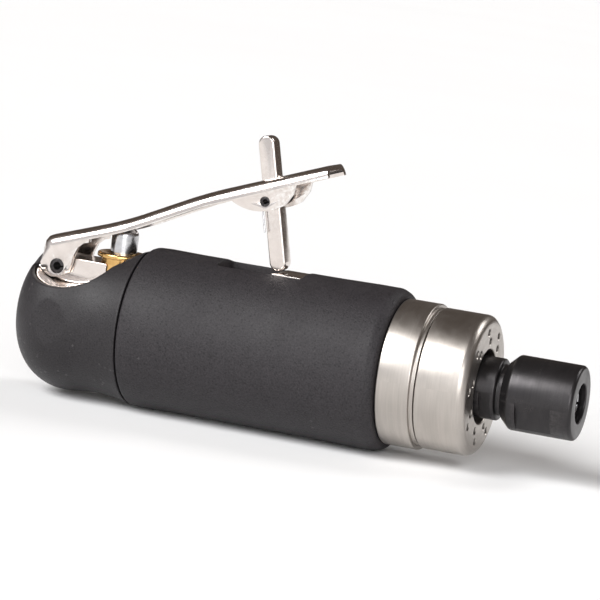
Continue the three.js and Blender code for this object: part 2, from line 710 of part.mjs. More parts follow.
function rounded(points, reach, steps) {
  const path = [points[0]];
  for (let i = 1; i < points.length - 1; i += 1) {
    const here = new THREE.Vector2(...points[i]);
    const towards = (other) => new THREE.Vector2(...other).sub(here).setLength(reach).add(here);
    const curve = new THREE.QuadraticBezierCurve(towards(points[i - 1]), here, towards(points[i + 1]));
    path.push(...curve.getPoints(steps).map((p) => [p.x, p.y]));
  }
  path.push(points[points.length - 1]);
  return path;
}

function offsetBelow(path, distance) {
  return path.map((point, i) => {
    const before = new THREE.Vector2(...path[Math.max(i - 1, 0)]);
    const after = new THREE.Vector2(...path[Math.min(i + 1, path.length - 1)]);
    const along = after.sub(before).normalize();
    return [point[0] + along.y * distance, point[1] - along.x * distance];
  });
}
const topLine = rounded([leverRear, leverLowBend, leverHighBend, leverNose].map(fromPivot), 6, 5);
const webUnderside = offsetBelow(topLine, leverSheet);
const flangeEdge = offsetBelow(topLine, leverFlange);
const band = plate([...topLine, ...flangeEdge.slice().reverse()], -leverOuterHalf, leverOuterHalf);

// rear ears hang round the pivot, with a rounded foot and a curved front edge
const earOutline = [
  [-2.6, 8.0], [-3.9, 7.4], [-4.8, 6.2], [-5.1, 4.6], [-5.0, 1.2], ...arcPoints(-0.8, 1.1, 4.1, 185, 300, 8),
  [3.2, -1.4], [3.9, 0.6], [4.4, 3.4], [5.4, 5.8], [7.0, 7.2], [8.4, 7.6], [8.4, 10],
].map(fromPivot);
const rearEars = plate(earOutline, -leverOuterHalf, leverOuterHalf);

// front ears are shallow D shapes round the lock pivot
const frontEarOutline = [
  [45.4, 24.6], ...arcPoints(lockPivot[0] - 1.6, lockPivot[1] + 5.6, 8.4, 216, 318, 9),
  [64.2, 31.0], [63, 33], [46, 27],
].map(fromPivot);
const frontEars = plate(frontEarOutline, -leverOuterHalf, leverOuterHalf);

const rearWallFoot = 4.4;     // the sheet turns down behind the boss and stops above it
const channelOutline = [
  fromPivot([-12, -20]), fromPivot([-12, rearWallFoot]), fromPivot([-3.5, rearWallFoot]), fromPivot([-3.3, 5.6]),
  [webUnderside[0][0], webUnderside[0][1] - 0.2], ...webUnderside.slice(1),
  [webUnderside.at(-1)[0] + 5, webUnderside.at(-1)[1]], [webUnderside.at(-1)[0] + 5, -20],
];
const channel = plate(channelOutline, -leverInnerHalf, leverInnerHalf);

const slotHalfWidth = lockWidth / 2 + 0.4;
const slotFront = 16.9;
const slotRear = -4.4;
const webAngle = Math.atan2(leverNose[1] - leverHighBend[1], leverNose[0] - leverHighBend[0]);
const alongWeb = (s, up) => [
  lockPivot[0] + s * Math.cos(webAngle) - up * Math.sin(webAngle),
  lockPivot[1] + s * Math.sin(webAngle) + up * Math.cos(webAngle),
];
const slotOutline = [[slotRear, -3], [slotFront, -3], [slotFront, 12], [slotRear, 12]]
  .map(([s, up]) => fromPivot(alongWeb(s, up)));
const lockSlot = plate(slotOutline, -slotHalfWidth, slotHalfWidth);
const throttleLever = cut(joined([band, rearEars, frontEars]), [
  channel, lockSlot, rodAcross(pivotStation, pivotHeight, 20, leverPinRadius + restGap),
  rodAcross(lockPivotStation, lockPivotHeight, 20, lockPinRadius + runGap),
]);
add('throttle_lever', throttleLever, brightNickel());

// A rolled pin is a tube with a slit along it.
function rolledPin(station, height, radius, bore, halfLength) {
  const barrel = rodAcross(station, height, halfLength, radius, 28);
  const slit = box(station, station + radius + 1, -halfLength - 1, halfLength + 1, height - 0.25, height + 0.25);
  return cut(barrel, [rodAcross(station, height, halfLength + 1, bore, 20), slit]);
}
const pinHalf = leverOuterHalf - 0.1;
const leverPin = rolledPin(pivotStation, pivotHeight, leverPinRadius, leverPinBore, pinHalf);
add('lever_pin', leverPin, blackOxide());
const lockPin = rolledPin(lockPivotStation, lockPivotHeight, lockPinRadius, lockPinBore, pinHalf);
add('lock_pin', lockPin, blackOxide());

// ---- lock-off lever ----------------------------------------------------------------------------
const lockRound = lockThickness / 2;
const lockOutline = [
  ...arcPoints(lockPivotStation, lockPivotHeight + lockTopReach - lockRound, lockRound, 0, 180, 10),
  ...arcPoints(lockPivotStation, lockPivotHeight - lockFootReach + lockRound, lockRound, 180, 360, 10),
];
const uprightBar = plate(lockOutline, -lockWidth / 2, lockWidth / 2);
const lockBore = rodAcross(lockPivotStation, lockPivotHeight, 10, lockPinRadius + restGap, 24);
const lockBar = turnedAbout(uprightBar, -lockLean, lockPivotStation, lockPivotHeight).subtract(lockBore);
add('lock_lever', lockBar, brightNickel());

// torsion spring: turns round the lock pin beside the bar, then a leg down to the bar's rear edge
class LockSpringPath extends THREE.Curve {
  getPoint(t, target = new THREE.Vector3()) {
    const coilShare = 0.72;
    const pitch = lockSpringWire + 0.12;
    const startY = -leverInnerHalf + 0.45;
    const turns = 2.6;
    const legLength = 8.2;
    const coilT = Math.min(t / coilShare, 1);
    const angle = Math.PI - 2 * Math.PI * turns * (1 - coilT);
    const y = startY + pitch * turns * coilT;
    target.set(lockSpringRadius * Math.cos(angle), y, lockSpringRadius * Math.sin(angle));
    if (t > coilShare) target.z -= (legLength * (t - coilShare)) / (1 - coilShare);
    return target;
  }
}
const lockSpring = solid(wire(new LockSpringPath(), 48, lockSpringWire, 5));
const springPlaced = lockSpring.rotate([0, -lockLean, 0]).translate([lockPivotStation, 0, lockPivotHeight]);
add('lock_spring', springPlaced, bareSteel());

// ---- row frame: origin at the middle of the underside ------------------------------------------
const frame = new THREE.Group();
group.position.set(-nutEnd / 2, 0, gripRadius);
frame.add(group);
frame.userData = {
  throttleSwing,
  lockSwing,
  stemArm: stemPress,
  pivot: [pivotStation - nutEnd / 2, pivotHeight + gripRadius],
  lock: [lockPivotStation - nutEnd / 2, lockPivotHeight + gripRadius],
};
export default frame;
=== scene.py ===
import json
import math

import bmesh
import bpy
from mathutils import Matrix, Vector


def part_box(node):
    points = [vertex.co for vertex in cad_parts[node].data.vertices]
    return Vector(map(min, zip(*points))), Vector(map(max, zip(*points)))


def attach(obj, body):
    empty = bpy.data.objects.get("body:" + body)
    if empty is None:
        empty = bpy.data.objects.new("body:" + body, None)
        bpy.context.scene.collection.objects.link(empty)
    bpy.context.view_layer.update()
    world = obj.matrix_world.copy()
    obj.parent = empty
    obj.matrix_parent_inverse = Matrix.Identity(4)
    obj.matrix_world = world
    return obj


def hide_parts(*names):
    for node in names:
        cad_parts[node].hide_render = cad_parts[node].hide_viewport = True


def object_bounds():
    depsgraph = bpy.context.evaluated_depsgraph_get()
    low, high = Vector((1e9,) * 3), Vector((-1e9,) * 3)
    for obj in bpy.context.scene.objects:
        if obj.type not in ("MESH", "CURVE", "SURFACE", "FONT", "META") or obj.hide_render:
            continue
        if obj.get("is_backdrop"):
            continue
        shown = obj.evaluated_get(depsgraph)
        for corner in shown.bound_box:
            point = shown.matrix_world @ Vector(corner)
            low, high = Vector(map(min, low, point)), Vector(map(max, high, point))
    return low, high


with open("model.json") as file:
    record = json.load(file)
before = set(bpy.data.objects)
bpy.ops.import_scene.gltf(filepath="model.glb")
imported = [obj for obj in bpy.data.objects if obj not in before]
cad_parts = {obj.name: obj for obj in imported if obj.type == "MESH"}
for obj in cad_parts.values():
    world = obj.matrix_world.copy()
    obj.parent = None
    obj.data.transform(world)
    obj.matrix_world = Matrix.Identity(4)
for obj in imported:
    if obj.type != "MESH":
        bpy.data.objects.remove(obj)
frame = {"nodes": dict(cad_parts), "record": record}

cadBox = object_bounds()

# Pieces are made in millimetres with x from the rear face and z from the tool axis,
# and moved into the frame at the end.
mm = 0.001
inletLow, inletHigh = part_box("inlet_bushing")
nutLow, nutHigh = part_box("collet_nut")
rearFace = inletLow.x
axisHeight = (nutLow.z + nutHigh.z) / 2
toFrame = Matrix.Translation((rearFace, 0, axisHeight)) @ Matrix.Scale(mm, 4)


def extent(cadNode):
    low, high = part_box(cadNode)
    return {
        "rear": (low.x - rearFace) / mm, "front": (high.x - rearFace) / mm,
        "half": high.y / mm, "near": low.y / mm,
        "bottom": (low.z - axisHeight) / mm, "top": (high.z - axisHeight) / mm,
    }


def middleOf(cadNode):
    low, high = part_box(cadNode)
    return ((low.x + high.x) / 2 - rearFace) / mm, ((low.z + high.z) / 2 - axisHeight) / mm


def bodyOf(cadNode):
    bodies = frame["record"]["behaviour"]["bodies"]
    return next(name for name, nodes in bodies.items() if cadNode in nodes)


# Shader helpers.
def node(tree, kind, inputs=None, **settings):
    made = tree.nodes.new(kind)
    for key, value in settings.items():
        setattr(made, key, value)
    for key, value in (inputs or {}).items():
        if isinstance(value, bpy.types.NodeSocket):
            tree.links.new(value, made.inputs[key])
        else:
            made.inputs[key].default_value = value
    return made


def maths(tree, operation, first, second=0.0, clamp=False):
    made = node(tree, "ShaderNodeMath", {0: first, 1: second}, operation=operation, use_clamp=clamp)
    return made.outputs[0]


def times(tree, first, second):
    return maths(tree, "MULTIPLY", first, second)


def plus(tree, first, second, clamp=False):
    return maths(tree, "ADD", first, second, clamp)


def spread(tree, value, low, high, newLow=0.0, newHigh=1.0):
    made = node(tree, "ShaderNodeMapRange", {"Value": value, "From Min": low, "From Max": high,
                                            "To Min": newLow, "To Max": newHigh}, clamp=True)
    return made.outputs["Result"]


def blended(tree, mask, first, second):
    first, second = ((*value, 1.0) if isinstance(value, tuple) else value for value in (first, second))
    return node(tree, "ShaderNodeMix", {0: mask, 6: first, 7: second}, data_type="RGBA").outputs[2]


def noise(tree, place, scale, detail, **settings):
    inputs = {"Vector": place, "Scale": scale, "Detail": detail, **settings}
    return node(tree, "ShaderNodeTexNoise", inputs).outputs[0]


def leaning(tree, place, turn, stretch):
    settings = {"Vector": place, "Rotation": turn, "Scale": (1.0, stretch, 1.0)}
    return node(tree, "ShaderNodeMapping", settings).outputs[0]


def newGroup(name, inputs, outputs):
    tree = bpy.data.node_groups.new(name, "ShaderNodeTree")
    tree.interface.new_socket("Place", in_out="INPUT", socket_type="NodeSocketVector")
    for socketName, value in inputs.items():
        socket = tree.interface.new_socket(socketName, in_out="INPUT", socket_type="NodeSocketFloat")
        socket.default_value = value
    for socketName in outputs:
        tree.interface.new_socket(socketName, in_out="OUTPUT", socket_type="NodeSocketFloat")
    return tree, tree.nodes.new("NodeGroupInput"), tree.nodes.new("NodeGroupOutput")


def useGroup(tree, group, **values):
    return node(tree, "ShaderNodeGroup", values, node_tree=group)


# Moulded or cast grain: small bumps of mixed size, with pits.
def makeGrainGroup():
    tree, start, end = newGroup("fineGrain", {"Scale": 4000.0, "Pits": 0.4}, ("Height", "Tone"))
    place, scale = start.outputs["Place"], start.outputs["Scale"]
    fine = noise(tree, place, scale, 4.0, Roughness=0.6)
    coarse = noise(tree, place, times(tree, scale, 0.11), 3.0, Roughness=0.55)
    cells = node(tree, "ShaderNodeTexVoronoi", {"Vector": place, "Scale": times(tree, scale, 0.45)})
    pits = times(tree, spread(tree, cells.outputs["Distance"], 0.0, 0.35, 1.0, 0.0), start.outputs["Pits"])
    tree.links.new(maths(tree, "SUBTRACT", fine, pits), end.inputs["Height"])
    tree.links.new(plus(tree, times(tree, fine, 0.35), times(tree, coarse, 0.65)), end.inputs["Tone"])
    return tree


# Tool marks left by turning: fine rings round the X axis of Place, on barrels and on faces alike.
def makeTurningGroup():
    tree, start, end = newGroup("turningMarks", {"Fineness": 2500.0, "Wander": 0.02}, ("Height", "Tone"))
    parts = node(tree, "ShaderNodeSeparateXYZ", {"Vector": start.outputs["Place"]})
    across, up = parts.outputs["Y"], parts.outputs["Z"]
    radius = maths(tree, "SQRT", plus(tree, times(tree, across, across), times(tree, up, up)))
    swing = times(tree, maths(tree, "ARCTAN2", up, across), start.outputs["Wander"])
    heights = []
    for share, detail in ((1.0, 3.0), (0.16, 2.0)):
        fineness = times(tree, start.outputs["Fineness"], share)
        rings = node(tree, "ShaderNodeCombineXYZ", {
            "X": times(tree, parts.outputs["X"], fineness),
            "Y": times(tree, radius, fineness),
            "Z": times(tree, swing, 60.0),
        })
        heights.append(noise(tree, rings.outputs[0], 1.0, detail, Roughness=0.6))
    tree.links.new(heights[0], end.inputs["Height"])
    tree.links.new(plus(tree, times(tree, heights[0], 0.4), times(tree, heights[1], 0.6)), end.inputs["Tone"])
    return tree


# Wear where a surface turns sharply outward, broken up so that it isn't an even line.
def makeEdgeGroup():
    tree, start, end = newGroup("edgeWear", {"Start": 0.52, "Full": 0.6, "Breakup": 900.0}, ("Mask",))
    shape = node(tree, "ShaderNodeNewGeometry")
    edge = spread(tree, shape.outputs["Pointiness"], start.outputs["Start"], start.outputs["Full"])
    patches = noise(tree, start.outputs["Place"], start.outputs["Breakup"], 4.0)
    tree.links.new(times(tree, edge, spread(tree, patches, 0.35, 0.62)), end.inputs["Mask"])
    return tree


# Finger smudges and faint hairline scratches, for roughness and tone.
def makeHandlingGroup():
    tree, start, end = newGroup("handling", {"Smudges": 110.0, "Scratches": 700.0}, ("Smudge", "Scratch"))
    place = start.outputs["Place"]
    cloud = noise(tree, place, start.outputs["Smudges"], 5.0, Roughness=0.65, Distortion=0.6)
    tree.links.new(spread(tree, cloud, 0.38, 0.68), end.inputs["Smudge"])
    lines = None
    for turn, stretch in ((0.5, 0.05), (-0.9, 0.04), (2.1, 0.06)):
        lean = leaning(tree, place, (turn, turn * 0.7, turn * 1.3), stretch)
        hair = noise(tree, lean, start.outputs["Scratches"], 1.0, Distortion=0.15)
        offLine = maths(tree, "ABSOLUTE", maths(tree, "SUBTRACT", hair, 0.5))
        line = spread(tree, offLine, 0.0, 0.006, 1.0, 0.0)
        lines = line if lines is None else maths(tree, "MAXIMUM", lines, line)
    gate = spread(tree, cloud, 0.5, 0.6)
    tree.links.new(times(tree, lines, gate), end.inputs["Scratch"])
    return tree


# Lint and dust: sparse round specks.
def makeSpeckGroup():
    tree, start, end = newGroup("dustSpecks", {"Spacing": 900.0, "Size": 0.09}, ("Mask",))
    place, spacing = start.outputs["Place"], start.outputs["Spacing"]
    cells = node(tree, "ShaderNodeTexVoronoi", {"Vector": place, "Scale": spacing})
    tone = node(tree, "ShaderNodeSeparateColor", {"Color": cells.outputs["Color"]})
    chosen = spread(tree, tone.outputs[0], 0.82, 0.84)
    dot = maths(tree, "LESS_THAN", cells.outputs["Distance"], start.outputs["Size"])
    tree.links.new(times(tree, dot, chosen), end.inputs["Mask"])
    return tree


grainGroup = makeGrainGroup()
turningGroup = makeTurningGroup()
edgeGroup = makeEdgeGroup()
handlingGroup = makeHandlingGroup()
speckGroup = makeSpeckGroup()
print("shader groups ready")


# Materials.
def startMaterial(name, upright=None):
    material = bpy.data.materials.new(name)
    material.use_nodes = True
    tree = material.node_tree
    tree.nodes.clear()
    shader = tree.nodes.new("ShaderNodeBsdfPrincipled")
    output = tree.nodes.new("ShaderNodeOutputMaterial")
    tree.links.new(shader.outputs[0], output.inputs["Surface"])
    where = node(tree, "ShaderNodeTexCoord").outputs["Object"]
    if upright is None:
        shift = {"Vector": where, "Location": (0, 0, -axisHeight)}
        place = node(tree, "ShaderNodeMapping", shift).outputs[0]
    else:
        shift = {0: where, 1: (-upright, 0, 0)}
        moved = node(tree, "ShaderNodeVectorMath", shift, operation="ADD").outputs[0]
        turn = {"Vector": moved, "Rotation": (0, math.pi / 2, 0)}
        place = node(tree, "ShaderNodeMapping", turn).outputs[0]
    return material, tree, shader, place


def paint(tree, shader, colour, rough):
    tree.links.new(colour, shader.inputs["Base Color"])
    tree.links.new(rough, shader.inputs["Roughness"])


def addBump(tree, shader, height, strength, distance):
    bump = node(tree, "ShaderNodeBump", {"Height": height, "Strength": strength, "Distance": distance})
    tree.links.new(bump.outputs[0], shader.inputs["Normal"])


gripLook = {"dark": (0.007, 0.006, 0.007), "light": (0.034, 0.030, 0.033), "dust": (0.15, 0.14, 0.14),
            "roughLow": 0.50, "roughHigh": 0.66, "grain": 2300.0, "bump": 0.9}


def makeGripRubber(name, look):
    material, tree, shader, place = startMaterial(name)
    grain = useGroup(tree, grainGroup, Place=place, Scale=look["grain"], Pits=0.35)
    worn = useGroup(tree, edgeGroup, Place=place, Start=0.52, Full=0.62, Breakup=700.0)
    touched = useGroup(tree, handlingGroup, Place=place, Smudges=70.0, Scratches=500.0)
    specks = useGroup(tree, speckGroup, Place=place, Spacing=620.0, Size=0.05)
    tone = spread(tree, grain.outputs["Tone"], 0.30, 0.70)
    pebble = spread(tree, grain.outputs["Height"], 0.25, 0.75)
    shade = plus(tree, times(tree, pebble, 0.8), times(tree, tone, 0.2))
    colour = blended(tree, shade, look["dark"], look["light"])
    colour = blended(tree, times(tree, worn.outputs["Mask"], 0.35), colour, look["dust"])
    colour = blended(tree, times(tree, specks.outputs["Mask"], 0.5), colour, look["dust"])
    uneven = plus(tree, times(tree, touched.outputs["Smudge"], 0.6), times(tree, tone, 0.4))
    paint(tree, shader, colour, spread(tree, uneven, 0.0, 1.0, look["roughLow"], look["roughHigh"]))
    shader.inputs["Specular IOR Level"].default_value = 0.30
    addBump(tree, shader, grain.outputs["Height"], look["bump"], 0.00012)
    return material


nickelLook = {"base": (0.74, 0.68, 0.64), "haze": (0.60, 0.54, 0.50), "bright": (0.92, 0.90, 0.88),
              "roughLow": 0.13, "roughHigh": 0.27}


def makeNickelPlate(name, look):
    material, tree, shader, place = startMaterial(name)
    touched = useGroup(tree, handlingGroup, Place=place, Smudges=130.0, Scratches=520.0)
    worn = useGroup(tree, edgeGroup, Place=place, Start=0.52, Full=0.66, Breakup=1200.0)
    grain = useGroup(tree, grainGroup, Place=place, Scale=1500.0, Pits=0.1)
    colour = blended(tree, times(tree, touched.outputs["Smudge"], 0.6), look["base"], look["haze"])
    colour = blended(tree, worn.outputs["Mask"], colour, look["bright"])
    smudge, scratch = touched.outputs["Smudge"], touched.outputs["Scratch"]
    uneven = plus(tree, times(tree, smudge, 0.7), times(tree, scratch, 0.5), clamp=True)
    paint(tree, shader, colour, spread(tree, uneven, 0.0, 1.0, look["roughLow"], look["roughHigh"]))
    shader.inputs["Metallic"].default_value = 1.0
    height = maths(tree, "SUBTRACT", times(tree, grain.outputs["Tone"], 0.6), times(tree, scratch, 0.15))
    addBump(tree, shader, height, 0.12, 0.0001)
    return material


# Turned metals share one recipe and differ in their colours, polish and how deep the rings are cut.
turnedLooks = {
    "satinSteel": {"base": (0.49, 0.455, 0.42), "dark": (0.35, 0.32, 0.295), "worn": (0.60, 0.57, 0.54),
                   "roughLow": 0.29, "roughHigh": 0.42, "fineness": 3600.0, "bump": 0.16, "metal": 1.0},
    "blackOxide": {"base": (0.040, 0.037, 0.038), "dark": (0.020, 0.019, 0.020), "worn": (0.11, 0.10, 0.10),
                   "roughLow": 0.26, "roughHigh": 0.42, "fineness": 3000.0, "bump": 0.10, "metal": 0.75},
    "brassTurned": {"base": (0.72, 0.45, 0.17), "dark": (0.50, 0.29, 0.10), "worn": (0.92, 0.68, 0.36),
                    "roughLow": 0.16, "roughHigh": 0.30, "fineness": 4200.0, "bump": 0.12, "metal": 1.0},
    "steelGround": {"base": (0.58, 0.58, 0.59), "dark": (0.38, 0.38, 0.40), "worn": (0.85, 0.85, 0.86),
                    "roughLow": 0.14, "roughHigh": 0.28, "fineness": 5200.0, "bump": 0.10, "metal": 1.0},
}


def makeTurnedMetal(name, look, upright=None):
    material, tree, shader, place = startMaterial(name, upright)
    rings = useGroup(tree, turningGroup, Place=place, Fineness=look["fineness"], Wander=0.02)
    worn = useGroup(tree, edgeGroup, Place=place, Start=0.52, Full=0.64, Breakup=1400.0)
    touched = useGroup(tree, handlingGroup, Place=place, Smudges=120.0, Scratches=600.0)
    tone = spread(tree, rings.outputs["Tone"], 0.35, 0.65)
    colour = blended(tree, times(tree, tone, 0.55), look["base"], look["dark"])
    colour = blended(tree, times(tree, touched.outputs["Scratch"], 0.25), colour, look["worn"])
    colour = blended(tree, worn.outputs["Mask"], colour, look["worn"])
    uneven = plus(tree, times(tree, touched.outputs["Smudge"], 0.55), times(tree, tone, 0.45))
    paint(tree, shader, colour, spread(tree, uneven, 0.0, 1.0, look["roughLow"], look["roughHigh"]))
    shader.inputs["Metallic"].default_value = look["metal"]
    addBump(tree, shader, rings.outputs["Height"], look["bump"], 0.00005)
    return material


ironLook = {"base": (0.20, 0.20, 0.21), "dark": (0.10, 0.10, 0.105), "oil": 0.24, "dry": 0.5}


def makeIronMachined(name, look):
    material, tree, shader, place = startMaterial(name)
    grain = useGroup(tree, grainGroup, Place=place, Scale=2600.0, Pits=0.7)
    rings = useGroup(tree, turningGroup, Place=place, Fineness=2200.0, Wander=0.05)
    touched = useGroup(tree, handlingGroup, Place=place, Smudges=160.0, Scratches=600.0)
    tone = times(tree, grain.outputs["Tone"], rings.outputs["Tone"])
    paint(tree, shader, blended(tree, spread(tree, tone, 0.12, 0.38), look["dark"], look["base"]),
          spread(tree, touched.outputs["Smudge"], 0.0, 1.0, look["oil"], look["dry"]))
    shader.inputs["Metallic"].default_value = 0.9
    addBump(tree, shader, plus(tree, grain.outputs["Height"], rings.outputs["Height"]), 0.2, 0.00008)
    return material


sealLook = {"dark": (0.010, 0.010, 0.011), "bloom": (0.055, 0.055, 0.058)}


def makeNitrileRubber(name, look):
    material, tree, shader, place = startMaterial(name)
    grain = useGroup(tree, grainGroup, Place=place, Scale=6000.0, Pits=0.2)
    touched = useGroup(tree, handlingGroup, Place=place, Smudges=300.0, Scratches=900.0)
    colour = blended(tree, times(tree, touched.outputs["Smudge"], 0.5), look["dark"], look["bloom"])
    paint(tree, shader, colour, spread(tree, grain.outputs["Tone"], 0.3, 0.7, 0.3, 0.55))
    addBump(tree, shader, grain.outputs["Height"], 0.15, 0.00006)
    return material


feltLook = {"pale": (0.36, 0.35, 0.32), "deep": (0.10, 0.095, 0.09), "fibre": 2600.0}


def makePressedFelt(name, look):
    material, tree, shader, place = startMaterial(name)
    fibres = None
    for turn in (0.3, 1.4, 2.5):
        hair = noise(tree, leaning(tree, place, (turn, turn * 1.7, turn * 0.6), 0.12), look["fibre"], 2.0)
        fibres = hair if fibres is None else maths(tree, "MAXIMUM", fibres, hair)
    paint(tree, shader, blended(tree, spread(tree, fibres, 0.45, 0.75), look["deep"], look["pale"]),
          spread(tree, fibres, 0.4, 0.8, 0.98, 0.85))
    shader.inputs["Sheen Weight"].default_value = 0.4
    addBump(tree, shader, fibres, 0.8, 0.0003)
    return material


vaneLook = {"resin": (0.20, 0.105, 0.045), "cloth": (0.34, 0.20, 0.10), "weave": 1500.0}


def makeVaneResin(name, look):
    material, tree, shader, place = startMaterial(name)
    weave = {"Vector": place, "Scale": look["weave"], "Distortion": 1.2, "Detail": 1.0}
    warp = node(tree, "ShaderNodeTexWave", weave, bands_direction="X").outputs["Fac"]
    weft = node(tree, "ShaderNodeTexWave", weave, bands_direction="Z").outputs["Fac"]
    cloth = times(tree, warp, weft)
    grain = useGroup(tree, grainGroup, Place=place, Scale=3000.0, Pits=0.3)
    paint(tree, shader, blended(tree, cloth, look["resin"], look["cloth"]),
          spread(tree, grain.outputs["Tone"], 0.3, 0.7, 0.35, 0.6))
    addBump(tree, shader, plus(tree, cloth, grain.outputs["Height"]), 0.2, 0.00006)
    return material


stemX = middleOf("valve_stem")[0] * mm + rearFace
skinLook = dict(gripLook, dark=(0.007, 0.006, 0.007), light=(0.028, 0.025, 0.027), roughLow=0.42,
                roughHigh=0.56, grain=2700.0, bump=0.65)
gripRubber = makeGripRubber("gripRubber", gripLook)
coverSkin = makeGripRubber("coverSkin", skinLook)
nickelPlate = makeNickelPlate("nickelPlate", nickelLook)
satinSteel = makeTurnedMetal("satinSteel", turnedLooks["satinSteel"])
blackOxide = makeTurnedMetal("blackOxide", turnedLooks["blackOxide"])
brassUpright = makeTurnedMetal("brassUpright", turnedLooks["brassTurned"], stemX)
brassAxial = makeTurnedMetal("brassAxial", turnedLooks["brassTurned"])
steelUpright = makeTurnedMetal("steelUpright", turnedLooks["steelGround"], stemX)
steelAxial = makeTurnedMetal("steelAxial", turnedLooks["steelGround"])
ironMachined = makeIronMachined("ironMachined", ironLook)
nitrileRubber = makeNitrileRubber("nitrileRubber", sealLook)
pressedFelt = makePressedFelt("pressedFelt", feltLook)
vaneResin = makeVaneResin("vaneResin", vaneLook)
print("materials ready")

nodeMaterials = {
    "rear_cover": coverSkin, "throttle_housing": nickelPlate, "rest_plate": nickelPlate,
    "throttle_lever": nickelPlate, "lock_lever": nickelPlate, "inlet_bushing": steelAxial,
    "inlet_screen": brassAxial, "valve_bushing": brassUpright, "valve_stem": steelUpright,
    "valve_spring": steelUpright, "valve_head": nitrileRubber, "valve_seat": nitrileRubber,
    "stem_seal": nitrileRubber, "grip_sleeve": gripRubber, "motor_housing": satinSteel,
    "exhaust_cap": satinSteel, "rear_end_plate": ironMachined, "motor_cylinder": ironMachined,
    "front_end_plate": ironMachined, "alignment_dowel": steelAxial, "clamp_spacer": steelAxial,
    "rotor": steelAxial, "collet": steelAxial, "lock_spring": steelAxial, "spindle": blackOxide,
    "collet_nut": blackOxide, "lever_pin": blackOxide, "lock_pin": blackOxide,
    "silencer_ring": pressedFelt,
}
for nodeName, nodeObject in frame["nodes"].items():
    if nodeName.startswith("vane_"):
        finish = vaneResin
    elif nodeName.endswith("_bearing_balls"):
        finish = brassAxial
    elif "_bearing_" in nodeName:
        finish = steelAxial
    else:
        finish = nodeMaterials[nodeName]
    for slot in nodeObject.material_slots:
        slot.material = finish


# Mesh helpers, in millimetres.
def meshObject(name, build):
    data = bpy.data.meshes.new(name)
    build.normal_update()
    bmesh.ops.recalc_face_normals(build, faces=build.faces)
    build.to_mesh(data)
    build.free()
    made = bpy.data.objects.new(name, data)
    bpy.context.scene.collection.objects.link(made)
    return made


def mergeInto(build, part):
    spare = bpy.data.meshes.new("spare")
    part.to_mesh(spare)
    part.free()
    build.from_mesh(spare)
    bpy.data.meshes.remove(spare)


def applied(piece):
    graph = bpy.context.evaluated_depsgraph_get()
    graph.update()
    data = bpy.data.meshes.new_from_object(piece.evaluated_get(graph))
    piece.modifiers.clear()
    piece.data = data
    return piece


def cutAway(piece, tools, operation="DIFFERENCE"):
    for tool in tools:
        change = piece.modifiers.new("cut", "BOOLEAN")
        change.operation = operation
        change.solver = "EXACT"
        change.object = tool
    applied(piece)
    for tool in tools:
        bpy.data.objects.remove(tool)
    return piece


def voxelSoftened(piece, size, rounds):
    remesh = piece.modifiers.new("even", "REMESH")
    remesh.mode = "VOXEL"
    remesh.voxel_size = size
    ease = piece.modifiers.new("ease", "SMOOTH")
    ease.factor = 0.5
    ease.iterations = rounds
    return applied(piece)


def cleaned(piece):
    build = bmesh.new()
    build.from_mesh(piece.data)
    bmesh.ops.remove_doubles(build, verts=build.verts, dist=0.004)
    bmesh.ops.dissolve_limit(build, angle_limit=math.radians(0.6), verts=build.verts, edges=build.edges)
    return build


def edgesEased(piece, width, segments=2, angle=32):
    build = cleaned(piece)
    build.to_mesh(piece.data)
    build.free()
    bevel = piece.modifiers.new("bevel", "BEVEL")
    bevel.width = width
    bevel.segments = segments
    bevel.limit_method = "ANGLE"
    bevel.angle_limit = math.radians(angle)
    return applied(piece)


def filleted(points, steps=5):
    # points are (along, out) or (along, out, fillet radius) of a closed outline
    outline = []
    count = len(points)
    for i, point in enumerate(points):
        here = Vector(point[:2])
        radius = point[2] if len(point) > 2 else 0.0
        before = Vector(points[i - 1][:2]) - here
        after = Vector(points[(i + 1) % count][:2]) - here
        if radius <= 0 or before.length < 1e-6 or after.length < 1e-6:
            outline.append(tuple(here))
            continue
        half = before.angle(after) / 2
        if half > math.pi / 2 - 0.01:
            outline.append(tuple(here))
            continue
        reach = min(radius / math.tan(half), 0.49 * before.length, 0.49 * after.length)
        radius = reach * math.tan(half)
        centre = here + (before.normalized() + after.normalized()).normalized() * radius / math.sin(half)
        start = here + before.normalized() * reach - centre
        turn = start.angle_signed(here + after.normalized() * reach - centre)
        for step in range(steps + 1):
            swing = Matrix.Rotation(-turn * step / steps, 2)
            outline.append(tuple(centre + swing @ start))
    return outline


def latheBuild(outline, segments=144):
    build = bmesh.new()
    rings = []
    for along, out in outline:
        if out < 1e-6:
            rings.append([build.verts.new((along, 0, 0))])
            continue
        ring = []
        for i in range(segments):
            angle = 2 * math.pi * i / segments
            ring.append(build.verts.new((along, out * math.cos(angle), out * math.sin(angle))))
        rings.append(ring)
    for first, second in zip(rings, rings[1:] + rings[:1]):
        if len(first) == 1 and len(second) == 1:
            continue
        for i in range(segments):
            j = (i + 1) % segments
            corners = [ring[k % len(ring)] for ring, k in ((first, i), (first, j), (second, j), (second, i))]
            face = list(dict.fromkeys(corners))
            if len(face) > 2:
                build.faces.new(face)
    return build


def turned(name, points, segments=144, steps=5):
    return meshObject(name, latheBuild(filleted(points, steps), segments))


def turnedUp(name, points, station, segments=96, steps=5):
    build = latheBuild(filleted(points, steps), segments)
    stand = Matrix.Translation((station, 0, 0)) @ Matrix.Rotation(-math.pi / 2, 4, "Y")
    build.transform(stand)
    return meshObject(name, build)


def turnedAcross(name, points, station, height, segments=64, steps=3):
    build = latheBuild(filleted(points, steps), segments)
    build.transform(Matrix.Translation((station, 0, height)) @ Matrix.Rotation(math.pi / 2, 4, "Z"))
    return meshObject(name, build)


def rodPoints(start, end, radius):
    return [(start, 0), (start, radius), (end, radius), (end, 0)]


